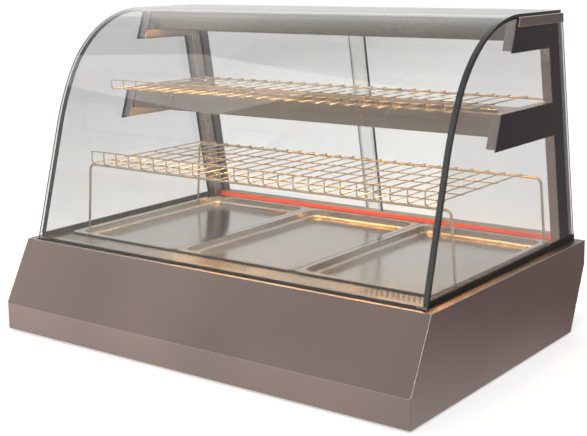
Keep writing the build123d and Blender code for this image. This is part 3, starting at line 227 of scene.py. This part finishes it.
class CaseGlowSettings(bpy.types.PropertyGroup):
    """Heat lamps and their warm light."""

    warm: colour("Warm light", "Colour of the heat lamps' light", (1.0, 0.58, 0.22))
    quartz: colour("Quartz", "What the lamps' tubes let through", (0.95, 0.93, 0.9))
    filament: strength("Filament", "Emission of the filament coils", 30.0)
    upper: strength("Upper lamps", "Power of each light under the top beam, in watts", 3.0)
    lower: strength("Lower lamps", "Power of each light under the mid beam, in watts", 4.5)
    element: strength("Elements", "Emission of the elements under the deck", 0.6)
    coil_radius: length("Coil radius", "Radius of the filament's coil", 0.0022)
    coil_wire: length("Coil wire", "Radius of the filament wire", 0.0004)
    coil_pitch: length("Coil pitch", "Rise of one turn of the coil", 0.0034)
    gap: length("Light gap", "Distance from a lamp down to its light", 0.002)


class CaseTrimSettings(bpy.types.PropertyGroup):
    """Screws and dial marks on the rear panel."""

    screw_radius: length("Screw head", "Radius of a screw head", 0.0045)
    screw_height: length("Screw height", "Height of a screw head", 0.0022)
    screw_count: IntProperty(name="Screws", description="Screws along the rear panel",
                             default=6, min=2)
    screw_level: length("Screw level", "Height of the screws over the floor", 0.137)
    screw_margin: length("Screw margin", "Distance of the last screws from the ends", 0.03)
    mark_radius: length("Mark radius", "Radius of the dial's dots", 0.0011)
    mark_gap: length("Mark gap", "Distance from the knob to the dots", 0.0035)
    mark_height: length("Mark height", "Thickness of the dial's dots", 0.0003)
    grip_height: length("Grip height", "Height of the knob's ridge over the panel", 0.0172)
    mark_count: IntProperty(name="Dial marks", description="Marks round the knob",
                            default=11, min=2)


class CaseStageSettings(bpy.types.PropertyGroup):
    """Floor, backdrop, lights and camera."""

    floor: colour("Floor", "Pale floor", (0.86, 0.86, 0.86))
    floor_size: length("Floor size", "Half the floor's width", 30.0)
    floor_lift: strength("Floor lift", "Light added to the floor where it is seen", 0.42)
    key: strength("Key light", "Power of the large front light, in watts", 40.0)
    fill: strength("Fill light", "Power of the side light, in watts", 10.0)
    world: strength("World", "Strength of the even light on the object", 0.7)
    camera: FloatVectorProperty(name="Camera", description="Place of the camera", size=3,
                                default=(1.5881, -2.1196, 0.8442), unit="LENGTH")
    turn: FloatVectorProperty(name="Camera turn", description="Yaw, pitch and roll", size=3,
                              default=(0.64105, -0.16752, -0.0144), unit="ROTATION")
    focal: FloatProperty(name="Focal length", description="In widths of the picture",
                         default=PHOTO_FOCAL / PHOTO_WIDTH, min=0.1)
    shift: FloatProperty(name="Shift", description="Upright shift of the picture",
                         default=-0.1)


# Meshes from surfaces of two parameters


def surface(name, points, material, body="case", close_u=False, close_v=False):
    """Piece from points of shape (copies, n, m, 3): quads between neighbours of each n by m grid.

    close_u or close_v also joins the last row or column back to the first.
    """
    copies, n, m, _ = points.shape
    rows = np.arange(n if close_u else n - 1)
    columns = np.arange(m if close_v else m - 1)
    i, j = np.meshgrid(rows, columns, indexing="ij")
    right, up = (i + 1) % n, (j + 1) % m
    quad = np.stack([i * m + j, right * m + j, right * m + up, i * m + up], -1).reshape(-1, 4)
    faces = (quad[None] + np.arange(copies)[:, None, None] * n * m).reshape(-1, 4)
    mesh = bpy.data.meshes.new(name)
    mesh.from_pydata(points.reshape(-1, 3), [], faces)
    mesh.materials.append(material)
    mesh.shade_smooth()
    mesh.validate()
    piece = bpy.data.objects.new(name, mesh)
    bpy.context.scene.collection.objects.link(piece)
    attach(piece, body)


def unit(vectors):
    """Vectors divided by their lengths."""
    return vectors / np.linalg.norm(vectors, axis=-1, keepdims=True)


def coil(start, end, radius, wire, pitch):
    """Grid of a coiled wire along X.

    The wire's line goes round the axis at the coil's radius and advances one pitch a turn, and a
    circle of the wire's radius is carried along it, across the line's direction.
    """
    turn_points, ring_points = 10, 6
    turns = (end[0] - start[0]) / pitch
    angle = np.linspace(0, 2 * pi * turns, int(turns * turn_points))
    advance = pitch / (2 * pi)
    out = np.stack([np.zeros_like(angle), np.cos(angle), np.sin(angle)], -1)
    line = np.array(start) + out * radius
    line[:, 0] += angle * advance
    along = unit(np.stack([np.full_like(angle, advance), -np.sin(angle) * radius,
                           np.cos(angle) * radius], -1))
    side = np.cross(along, out)
    round_angle = np.linspace(0, 2 * pi, ring_points, endpoint=False)
    ring = (np.cos(round_angle)[None, :, None] * out[:, None]
            + np.sin(round_angle)[None, :, None] * side[:, None])
    return (line[:, None] + ring * wire)[None]


def domed_heads(places, x_dir, out_dir, radius, height):
    """Grids of domed heads with a cross recess, standing out along out_dir.

    The height falls from the middle to the rim with the square of the distance, and the recess
    lowers it where a point lies near either arm of a cross.
    """
    round_points, out_points = 32, 12
    rim, arm_width, arm_reach, recess_depth = 0.35, 0.16, 0.62, 0.45
    side_blend, end_blend = 0.05, 0.08
    a, r = np.meshgrid(np.linspace(0, 2 * pi, round_points, endpoint=False),
                       np.linspace(0, 1, out_points), indexing="ij")
    arm = np.minimum(np.abs(np.cos(a)), np.abs(np.sin(a))) * r
    recess = (np.clip((arm_width - arm) / side_blend, 0, 1)
              * np.clip((arm_reach - r) / end_blend, 0, 1))
    lift = height * (rim + (1 - rim) * (1 - r ** 2) - recess_depth * recess)
    lift[:, -1] = 0.0
    r[:, -2] = 1.0
    x_dir, out_dir = np.array(x_dir), np.array(out_dir)
    y_dir = np.cross(out_dir, x_dir)
    head = (np.cos(a)[..., None] * x_dir + np.sin(a)[..., None] * y_dir) * r[..., None] * radius
    head = head + lift[..., None] * out_dir
    return np.asarray(places)[:, None, None] + head[None]


# Node trees


def feed(tree, node, sockets):
    """Give sockets of a node, by name or number, their values or the sockets they follow."""
    for name, value in sockets.items():
        if isinstance(value, bpy.types.NodeSocket):
            tree.links.new(value, node.inputs[name])
        else:
            node.inputs[name].default_value = value


def add(tree, kind, sockets=None, **settings):
    """Shader node with its settings and its sockets."""
    node = tree.nodes.new("ShaderNode" + kind)
    for name, value in settings.items():
        setattr(node, name, value)
    feed(tree, node, sockets or {})
    return node


def opaque(value, factor=1.0):
    """Colour times a factor, with its alpha of 1."""
    return (*(part * factor for part in value), 1.0)


def combine(tree, operation, first, second, **settings):
    """Result of an operation on two values or sockets."""
    node = add(tree, "Math", {0: first, 1: second}, operation=operation, **settings)
    return node.outputs[0]


def mix_colours(tree, factor, first, second):
    """Colour between two colours or sockets."""
    node = add(tree, "Mix", {0: factor, 6: first, 7: second}, data_type="RGBA")
    return node.outputs[2]


def mix_values(tree, factor, first, second):
    """Value between two values or sockets."""
    node = add(tree, "Mix", {0: factor, 2: first, 3: second}, data_type="FLOAT")
    return node.outputs[0]


def spread(tree, value, source, target):
    """Value carried from one range to another and held at its ends."""
    node = add(tree, "MapRange", {"Value": value, "From Min": source[0], "From Max": source[1],
                                  "To Min": target[0], "To Max": target[1]})
    return node.outputs["Result"]


def new_group(name, inputs, outputs):
    """Empty node group with value, colour or vector sockets."""
    tree = bpy.data.node_groups.new(name, "ShaderNodeTree")
    for label, kind in inputs.items():
        tree.interface.new_socket(label, in_out="INPUT", socket_type="NodeSocket" + kind)
    for label, kind in outputs.items():
        tree.interface.new_socket(label, in_out="OUTPUT", socket_type="NodeSocket" + kind)
    return tree, tree.nodes.new("NodeGroupInput"), tree.nodes.new("NodeGroupOutput")


def grain_group():
    """Fine parallel marks of ground steel, and the slow drift of its tone."""
    if "ground_grain" in bpy.data.node_groups:
        return bpy.data.node_groups["ground_grain"]
    tree, ins, outs = new_group("ground_grain", {"Vector": "Vector", "Stretch": "Vector"},
                                {"Marks": "Float", "Drift": "Float"})
    stretched = add(tree, "VectorMath", {0: ins.outputs["Vector"], 1: ins.outputs["Stretch"]},
                    operation="MULTIPLY")
    fine = add(tree, "TexNoise", {"Vector": stretched.outputs[0], "Scale": 1.0, "Detail": 3.0,
                                  "Roughness": 0.7})
    drift = add(tree, "TexNoise", {"Vector": ins.outputs["Vector"], "Scale": 2.2,
                                   "Detail": 2.0, "Roughness": 0.45})
    feed(tree, outs, {"Marks": fine.outputs["Fac"], "Drift": drift.outputs["Fac"]})
    return tree


def handling_group():
    """Wiped smears and small specks that handling leaves, as a mask from 0 to 1."""
    if "handling_marks" in bpy.data.node_groups:
        return bpy.data.node_groups["handling_marks"]
    tree, ins, outs = new_group("handling_marks", {"Vector": "Vector", "Scale": "Float"},
                                {"Smears": "Float"})
    cloud = add(tree, "TexNoise", {"Vector": ins.outputs["Vector"],
                                   "Scale": ins.outputs["Scale"], "Detail": 5.0,
                                   "Roughness": 0.62, "Distortion": 1.4})
    feed(tree, outs, {"Smears": spread(tree, cloud.outputs["Fac"], (0.46, 0.68), FULL)})
    return tree


def edge_rounding_group():
    """Mask of corners within a radius, and the normal rounded over them."""
    if "edge_wear" in bpy.data.node_groups:
        return bpy.data.node_groups["edge_wear"]
    tree, ins, outs = new_group("edge_wear", {"Radius": "Float"},
                                {"Edges": "Float", "Normal": "Vector"})
    rounded = add(tree, "Bevel", {"Radius": ins.outputs["Radius"]}, samples=8).outputs[0]
    true = add(tree, "NewGeometry").outputs["True Normal"]
    same = add(tree, "VectorMath", {0: rounded, 1: true}, operation="DOT_PRODUCT")
    edges = spread(tree, same.outputs["Value"], (0.995, 0.93), FULL)
    feed(tree, outs, {"Edges": edges, "Normal": rounded})
    return tree


def smears(tree, place, scale):
    """Mask of the marks that handling leaves on a material."""
    node = add(tree, "Group", {"Vector": place, "Scale": scale}, node_tree=handling_group())
    return node.outputs["Smears"]


def new_material(name, **sockets):
    """Material with one Principled shader, and constant values on its sockets."""
    material = bpy.data.materials.new(name)
    material.use_nodes = True
    tree = material.node_tree
    shader = tree.nodes["Principled BSDF"]
    feed(tree, shader, {label.replace("_", " "): value for label, value in sockets.items()})
    return material, tree, shader, add(tree, "TexCoord").outputs["Object"]


def dress(names, material):
    """Give a material to every face of some frame nodes."""
    for name in names:
        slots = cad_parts[name].data.materials
        slots.clear()
        slots.append(material)


# Steel


def sheet_steel(name, base, shade, stretch, roughness, depth, edge, edge_highlight):
    """Ground sheet steel: parallel marks, slow drift of tone, smears, and edges rounded with a
    painted highlight.

    A sheet whose edge radius is 0 keeps its sharp edges.
    """
    material, tree, shader, place = new_material(name, Metallic=1.0)
    grain = add(tree, "Group", {"Vector": place, "Stretch": stretch}, node_tree=grain_group())
    marks, drift = grain.outputs["Marks"], grain.outputs["Drift"]
    tone = mix_colours(tree, spread(tree, drift, MIDDLE, FULL), opaque(base), opaque(shade))
    flecks = spread(tree, marks, MOST, (0.0, 0.15))
    tone = mix_colours(tree, flecks, tone, opaque(base, 1.25))
    bump = add(tree, "Bump", {"Height": marks, "Distance": depth, "Strength": 0.2})
    # Rounded normal over the edges, and a painted highlight: the edges' colour turns bright.
    if edge:
        rounded_edges = add(tree, "Group", {"Radius": edge}, node_tree=edge_rounding_group())
        tone = mix_colours(tree, rounded_edges.outputs["Edges"], tone, opaque(edge_highlight))
        feed(tree, bump, {"Normal": rounded_edges.outputs["Normal"]})
    ground = spread(tree, marks, MOST, (roughness - 0.02, roughness + 0.02))
    smeared = spread(tree, smears(tree, place, 3.0), FULL, (0.0, 0.03))
    feed(tree, shader, {"Base Color": tone, "Normal": bump.outputs["Normal"],
                        "Roughness": combine(tree, "ADD", ground, smeared)})
    return material


def paint_shade_below(material, height, value):
    """Painted shade: a dark brown tone on a material's faces that lie under a height."""
    blend = 0.0003
    tree = material.node_tree
    shader = tree.nodes["Principled BSDF"]
    place = add(tree, "TexCoord").outputs["Object"]
    level = add(tree, "SeparateXYZ", {0: place}).outputs[2]
    low = spread(tree, level, (height, height + blend), (1.0, 0.0))
    base = shader.inputs["Base Color"].links[0].from_socket
    feed(tree, shader, {"Base Color": mix_colours(tree, low, base, opaque(value))})


class CASE_OT_finish_steel(bpy.types.Operator):
    """Ground steel on the base, deck, pans, frames, beams and vents"""

    bl_idname = "case.finish_steel"
    bl_label = "Steel"

    def execute(self, context):
        steel = context.scene.case_steel
        for name, nodes, base, shade, stretch, smoother, edge in SHEETS:
            sheet = sheet_steel(name, getattr(steel, base), getattr(steel, shade), stretch,
                                steel.roughness - smoother, steel.grain, steel.edge * edge,
                                steel.edge_highlight)
            dress(nodes, sheet)
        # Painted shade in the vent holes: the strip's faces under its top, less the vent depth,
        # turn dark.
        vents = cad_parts["vent_strip"].data.materials[0]
        paint_shade_below(vents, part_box("vent_strip")[1].z - steel.vent_depth, steel.vents)
        return {"FINISHED"}


def wire_steel(plating):
    """Bright plated wire, a little duller where smears lie."""
    material, tree, shader, place = new_material("wire_chrome", Metallic=1.0)
    dull = smears(tree, place, 40.0)
    feed(tree, shader, {"Base Color": mix_colours(tree, dull, opaque(plating),
                                                  opaque(plating, 0.8)),
                        "Roughness": spread(tree, dull, FULL, (0.14, 0.3))})
    return material


class CASE_OT_finish_wire(bpy.types.Operator):
    """Plated wire on the rack and the shelf"""

    bl_idname = "case.finish_wire"
    bl_label = "Wire"

    def execute(self, context):
        dress(WIRE_NODES, wire_steel(context.scene.case_wire.plating))
        return {"FINISHED"}


# Glass


def edge_mask(tree, place, low, high, depth, axes):
    """1 near the two end faces of a pane across each of some axes, and 0 inside it."""
    parts = add(tree, "SeparateXYZ", {0: place})
    blend = depth * 0.5
    total = 0.0
    for axis in axes:
        near = (low[axis] + blend, low[axis] + depth)
        far = (high[axis] - depth, high[axis] - blend)
        for reach, target in ((near, (1.0, 0.0)), (far, FULL)):
            mask = spread(tree, parts.outputs[axis], reach, target)
            total = combine(tree, "MAXIMUM", total, mask)
    return total


def let_light_through(tree, shader, tint):
    """Let the lamps' light through a glass, which is only a tint to a shadow's ray."""
    clear = add(tree, "BsdfTransparent", {"Color": opaque(tint)})
    shadow = add(tree, "LightPath").outputs["Is Shadow Ray"]
    mixed = add(tree, "MixShader", {0: shadow, 1: shader.outputs[0], 2: clear.outputs[0]})
    feed(tree, tree.nodes["Material Output"], {"Surface": mixed.outputs[0]})


def clear_glass(name, body, edge, low, high, depth, axes, shine, bend):
    """Clear pane with dark ground edges across some axes, which lets the lamps' light through."""
    material, tree, shader, place = new_material(
        name, IOR=bend, Transmission_Weight=1.0, Specular_IOR_Level=shine, Roughness=0.0)
    film = spread(tree, smears(tree, place, 5.0), FULL, (0.0, 0.5))
    tone = mix_colours(tree, film, opaque(body), opaque(body, 0.96))
    if axes:
        edges = edge_mask(tree, place, low, high, depth, axes)
        tone = mix_colours(tree, edges, tone, opaque(edge))
        feed(tree, shader, {"Roughness": spread(tree, edges, FULL, (0.0, 0.35))})
    feed(tree, shader, {"Base Color": tone})
    let_light_through(tree, shader, body)
    return material


class CASE_OT_finish_glass(bpy.types.Operator):
    """Clear glass with dark ground edges on the panes, and the doors' clear profiles"""

    bl_idname = "case.finish_glass"
    bl_label = "Glass"

    def execute(self, context):
        glass = context.scene.case_glass
        for names, body, shine, axes in PANES:
            for name in names:
                low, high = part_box(name)
                pane = clear_glass("glass_" + name, getattr(glass, body), glass.edge, low, high,
                                   glass.edge_depth, axes, getattr(glass, shine), GLASS_BEND)
                dress([name], pane)
        for name, edge in zip(DOOR_EDGE_NODES, (glass.edge, glass.side)):
            low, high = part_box(name)
            profile = clear_glass("clear_" + name, glass.profile, edge, low, high,
                                  glass.edge_depth, (0,), PROFILE_SHINE, PROFILE_BEND)
            dress([name], profile)
        return {"FINISHED"}


# Small finishes


def moulded(name, base, roughness, speckle, metallic=0.0, scale=900.0, shine=0.5):
    """Moulded, cast or painted surface: a fine skin texture and a slight change of tone."""
    material, tree, shader, place = new_material(name, Metallic=metallic,
                                                 Specular_IOR_Level=shine)
    skin = add(tree, "TexNoise", {"Vector": place, "Scale": scale, "Detail": 2.0}).outputs["Fac"]
    light = [min(1.0, part * (1 + speckle) + speckle * 0.02) for part in base]
    tone = mix_colours(tree, spread(tree, skin, MIDDLE, FULL), opaque(base), opaque(light))
    handled = spread(tree, smears(tree, place, 18.0), FULL,
                     (roughness, min(1.0, roughness + 0.12)))
    bump = add(tree, "Bump", {"Height": skin, "Distance": 0.00006, "Strength": 0.4})
    feed(tree, shader, {"Base Color": tone, "Roughness": handled,
                        "Normal": bump.outputs["Normal"]})
    return material


class CASE_OT_finish_small(bpy.types.Operator):
    """Covers, rubber, profiles, plastics, ceramics and reflectors"""

    bl_idname = "case.finish_small"
    bl_label = "Small pieces"

    def execute(self, context):
        small = context.scene.case_small
        for name, nodes, look in SMALL_FINISHES:
            dress(nodes, moulded(name, getattr(small, name), **look))
        return {"FINISHED"}


# Heat lamps


def glowing(name, warm, power, cold):
    """Hot surface whose glow is a little uneven over a cold body colour."""
    material, tree, shader, place = new_material(name, Roughness=0.4, Emission_Strength=power,
                                                 Base_Color=opaque(cold))
    material.cycles.emission_sampling = "NONE"
    uneven = add(tree, "TexNoise", {"Vector": place, "Scale": 60.0, "Detail": 2.0})
    glow = mix_colours(tree, spread(tree, uneven.outputs["Fac"], MOST, FULL),
                       opaque(warm, 0.8), opaque(warm))
    feed(tree, shader, {"Emission Color": glow})
    return material


def quartz_glass(name, tint):
    """Clear quartz tube that lets its filament's light through, a little cloudy at places."""
    material, tree, shader, place = new_material(name, Transmission_Weight=1.0, IOR=QUARTZ_BEND)
    cloudy = smears(tree, place, 30.0)
    feed(tree, shader, {"Base Color": mix_colours(tree, cloudy, opaque(tint), opaque(tint, 0.9)),
                        "Roughness": spread(tree, cloudy, FULL, (0.02, 0.12))})
    let_light_through(tree, shader, tint)
    return material


def lamp_spans(node):
    """Low and high corners of each of a node's two lamps, left and right of the middle."""
    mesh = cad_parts[node].data
    points = np.empty(len(mesh.vertices) * 3, np.float32)
    mesh.vertices.foreach_get("co", points)
    points = points.reshape(-1, 3)
    halves = (points[points[:, 0] < 0], points[points[:, 0] > 0])
    return [(half.min(0).astype(float), half.max(0).astype(float)) for half in halves]


def area_light(name, place, width, depth, power, tint=(1.0, 1.0, 1.0), target=None):
    """Soft rectangular light that shines down, or towards a target."""
    light = bpy.data.lights.new(name, "AREA")
    light.shape = "RECTANGLE"
    light.size = width
    light.size_y = depth
    light.energy = power
    light.color = tint
    lamp = bpy.data.objects.new(name, light)
    lamp.location = place
    if target:
        lamp.rotation_mode = "QUATERNION"
        lamp.rotation_quaternion = (Vector(target) - Vector(place)).to_track_quat("-Z", "Y")
    bpy.context.scene.collection.objects.link(lamp)


class CASE_OT_add_filaments(bpy.types.Operator):
    """Glowing filament coils inside the quartz lamps, and the lamps' warm light"""

    bl_idname = "case.add_filaments"
    bl_label = "Heat lamps"

    def execute(self, context):
        glow = context.scene.case_glow
        hot = glowing("filament", glow.warm, glow.filament, FILAMENT_METAL)
        quartz = quartz_glass("quartz", glow.quartz)
        dress(["heaters"], glowing("hot_element", glow.warm, glow.element, ELEMENT_SHEATH))
        for node, power in (("upper_lamps", glow.upper), ("lower_lamps", glow.lower)):
            dress([node], quartz)
            coils = []
            for index, (low, high) in enumerate(lamp_spans(node)):
                middle = (low + high) / 2
                width, depth, _ = high - low
                under = (middle[0], middle[1], low[2] - glow.gap)
                area_light(f"{node}_light_{index}", under, width, depth, power, glow.warm)
                reach = width / 2 - glow.coil_pitch * 3
                start = (middle[0] - reach, middle[1], middle[2])
                end = (middle[0] + reach, middle[1], middle[2])
                coils.append(coil(start, end, glow.coil_radius, glow.coil_wire,
                                  glow.coil_pitch))
            surface(node + "_filaments", np.concatenate(coils), hot, close_v=True)
        return {"FINISHED"}


# Screws and dial


def panel_point(x, z):
    """Point of the rear panel's outside at a side place and a height, and the way it faces."""
    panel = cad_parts["rear_panel"]
    hit, point, facing, _ = panel.ray_cast(Vector((x, 1.0, z)), Vector((0.0, -1.0, 0.0)))
    if not hit:
        raise ValueError(f"the rear panel has no face at {x:.3f}, {z:.3f}")
    return np.array(point), np.array(facing)


class CASE_OT_add_screws(bpy.types.Operator):
    """Domed screws along the top of the rear panel's leaning field"""

    bl_idname = "case.add_screws"
    bl_label = "Rear screws"

    def execute(self, context):
        trim = context.scene.case_trim
        low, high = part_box("rear_panel")
        spots = [panel_point(x, trim.screw_level)
                 for x in np.linspace(low.x + trim.screw_margin, high.x - trim.screw_margin,
                                      trim.screw_count)]
        heads = domed_heads([point for point, _ in spots], (1, 0, 0), spots[0][1],
                            trim.screw_radius, trim.screw_height)
        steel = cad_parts["shelf_pegs"].data.materials[0]
        surface("rear_screws", heads, steel, close_u=True)
        return {"FINISHED"}


class CASE_OT_add_dial(bpy.types.Operator):
    """Raised white dots round the thermostat knob, and one on the knob's grip"""

    bl_idname = "case.add_dial"
    bl_label = "Dial marks"

    def execute(self, context):
        trim = context.scene.case_trim
        paint = moulded("dial_paint", context.scene.case_small.dial_paint, roughness=0.5,
                        speckle=0.05)
        low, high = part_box("thermostat_knob")
        middle_x, radius = (low.x + high.x) / 2, (high.x - low.x) / 2
        beside = middle_x + radius * 1.5
        _, facing = panel_point(beside, (low.z + high.z) / 2)
        top, _ = panel_point(beside, high.z)
        upward = np.cross((1.0, 0.0, 0.0), facing) * -1
        middle = np.array((middle_x, top[1], top[2])) - upward * radius
        half_sweep = 0.75 * pi
        angles = np.linspace(-half_sweep, half_sweep, trim.mark_count)
        out = np.sin(angles)[:, None] * (1, 0, 0) + np.cos(angles)[:, None] * upward
        dots = middle + out * (radius + trim.mark_gap)
        tip = middle + facing * trim.grip_height + upward * (radius - trim.mark_gap * 2)
        for name, places, body in (("dial_marks", dots, "case"),
                                   ("knob_mark", [tip], "thermostat_knob")):
            heads = domed_heads(places, (1, 0, 0), facing, trim.mark_radius, trim.mark_height)
            surface(name, heads, paint, body, close_u=True)
        return {"FINISHED"}


# Stage


def seen_or_mirrored(tree):
    """Mask of the camera's rays and of rays passed on by glass, and mask of mirrored rays."""
    path = add(tree, "LightPath").outputs
    seen = combine(tree, "MAXIMUM", path["Is Camera Ray"], path["Is Transmission Ray"])
    mirrored = combine(tree, "SUBTRACT", path["Is Glossy Ray"], path["Is Transmission Ray"],
                       use_clamp=True)
    return seen, mirrored


def leaning_tone(tree, place, tone):
    """Tone that falls along a direction: the middle tone plus place times change, held."""
    change, middle, (low, high) = tone
    along = add(tree, "VectorMath", {0: place, 1: change}, operation="DOT_PRODUCT")
    return spread(tree, along.outputs["Value"], (low - middle, high - middle), (low, high))


def floor_paint(name, value, lift):
    """Pale floor: white where it is seen, greyer through glass, and a sweep in metal."""
    material, tree, shader, place = new_material(name, Roughness=0.9)
    cloud = add(tree, "TexNoise", {"Vector": place, "Scale": 3.0}).outputs["Fac"]
    feed(tree, shader, {"Base Color": mix_colours(tree, cloud, opaque(value),
                                                  opaque(value, 0.99))})
    seen, mirrored = seen_or_mirrored(tree)
    camera = add(tree, "LightPath").outputs["Is Camera Ray"]
    through = leaning_tone(tree, place, FLOOR_THROUGH_GLASS)
    level = combine(tree, "MULTIPLY", seen, mix_values(tree, camera, through, lift))
    lifted = add(tree, "Emission", {"Color": WHITE, "Strength": level})
    both = add(tree, "AddShader", {0: shader.outputs[0], 1: lifted.outputs[0]})
    sweep = leaning_tone(tree, place, FLOOR_MIRRORED)
    tint = mix_colours(tree, spread(tree, sweep, (0.5, 0.9), FULL), DARK_FLOOR_TINT, WHITE)
    swept = add(tree, "Emission", {"Color": tint, "Strength": sweep})
    mixed = add(tree, "MixShader", {0: mirrored, 1: both.outputs[0], 2: swept.outputs[0]})
    feed(tree, tree.nodes["Material Output"], {"Surface": mixed.outputs[0]})
    return material


def white_world(even):
    """Even light on the object, white where it is seen, and a sweep in metal, dark on top."""
    world = bpy.data.worlds.new("studio")
    bpy.context.scene.world = world
    world.use_nodes = True
    tree = world.node_tree
    seen, mirrored = seen_or_mirrored(tree)
    direction = add(tree, "TexCoord").outputs["Generated"]
    height = add(tree, "SeparateXYZ", {0: direction}).outputs[2]
    overhead = spread(tree, height, (0.5, 0.8), (1.0, 0.35))
    sweep = combine(tree, "MULTIPLY", leaning_tone(tree, direction, SKY_MIRRORED), overhead)
    plain = spread(tree, seen, FULL, (even, 1.0))
    level = mix_values(tree, mirrored, plain, sweep)
    feed(tree, tree.nodes["Background"], {"Color": WHITE, "Strength": level})


def set_camera(stage):
    """Camera at the photograph's place and angle."""
    data = bpy.data.cameras.new("camera")
    data.sensor_width = SENSOR_WIDTH
    data.lens = stage.focal * SENSOR_WIDTH
    data.shift_y = stage.shift
    camera = bpy.data.objects.new("camera", data)
    yaw, pitch, roll = stage.turn
    turn = (Matrix.Rotation(yaw, 4, "Z") @ Matrix.Rotation(pi / 2 + pitch, 4, "X")
            @ Matrix.Rotation(roll, 4, "Z"))
    camera.matrix_world = Matrix.Translation(stage.camera) @ turn
    bpy.context.scene.collection.objects.link(camera)
    bpy.context.scene.camera = camera


class CASE_OT_add_stage(bpy.types.Operator):
    """Pale floor, soft studio light, white surroundings and the camera"""

    bl_idname = "case.add_stage"
    bl_label = "Stage"

    def execute(self, context):
        stage = context.scene.case_stage
        half = stage.floor_size
        mesh = bpy.data.meshes.new("floor")
        mesh.from_pydata([(-half, -half, 0), (half, -half, 0), (half, half, 0),
                          (-half, half, 0)], [], [(0, 1, 2, 3)])
        mesh.materials.append(floor_paint("floor_paint", stage.floor, stage.floor_lift))
        floor = bpy.data.objects.new("floor", mesh)
        context.scene.collection.objects.link(floor)
        white_world(stage.world)
        for name, place, power in (("key", KEY_PLACE, stage.key),
                                   ("fill", FILL_PLACE, stage.fill)):
            area_light(name, place, LIGHT_WIDTH, LIGHT_WIDTH, power, target=LIGHT_TARGET)
        context.scene.view_settings.view_transform = "Standard"
        set_camera(stage)
        return {"FINISHED"}


class CASE_PT_panel(bpy.types.Panel):
    """Sidebar panel with the settings and one button for each group of pieces"""

    bl_label = "Display case"
    bl_idname = "CASE_PT_panel"
    bl_space_type = "VIEW_3D"
    bl_region_type = "UI"
    bl_category = "Display case"

    def draw(self, context):
        for settings, _, operators in SECTIONS:
            box = self.layout.box()
            group = getattr(context.scene, settings)
            for name in group.bl_rna.properties.keys():
                if name not in ("rna_type", "name"):
                    box.prop(group, name)
            for operator in operators:
                box.operator(operator.bl_idname)


SECTIONS = (
    ("case_steel", CaseSteelSettings, (CASE_OT_finish_steel,)),
    ("case_wire", CaseWireSettings, (CASE_OT_finish_wire,)),
    ("case_glass", CaseGlassSettings, (CASE_OT_finish_glass,)),
    ("case_small", CaseSmallSettings, (CASE_OT_finish_small,)),
    ("case_glow", CaseGlowSettings, (CASE_OT_add_filaments,)),
    ("case_trim", CaseTrimSettings, (CASE_OT_add_screws, CASE_OT_add_dial)),
    ("case_stage", CaseStageSettings, (CASE_OT_add_stage,)),
)


def register():
    """Add the settings, operators and panel."""
    for name, settings, operators in SECTIONS:
        bpy.utils.register_class(settings)
        setattr(bpy.types.Scene, name, PointerProperty(type=settings))
        for operator in operators:
            bpy.utils.register_class(operator)
    bpy.utils.register_class(CASE_PT_panel)


def unregister():
    """Remove them again."""
    bpy.utils.unregister_class(CASE_PT_panel)
    for name, settings, operators in reversed(SECTIONS):
        for operator in reversed(operators):
            bpy.utils.unregister_class(operator)
        delattr(bpy.types.Scene, name)
        bpy.utils.unregister_class(settings)


def main():
    """Run every operator in order."""
    register()
    bpy.ops.case.finish_steel()
    bpy.ops.case.finish_wire()
    bpy.ops.case.finish_glass()
    bpy.ops.case.finish_small()
    bpy.ops.case.add_filaments()
    bpy.ops.case.add_screws()
    bpy.ops.case.add_dial()
    bpy.ops.case.add_stage()


if __name__ == "__main__":
    main()
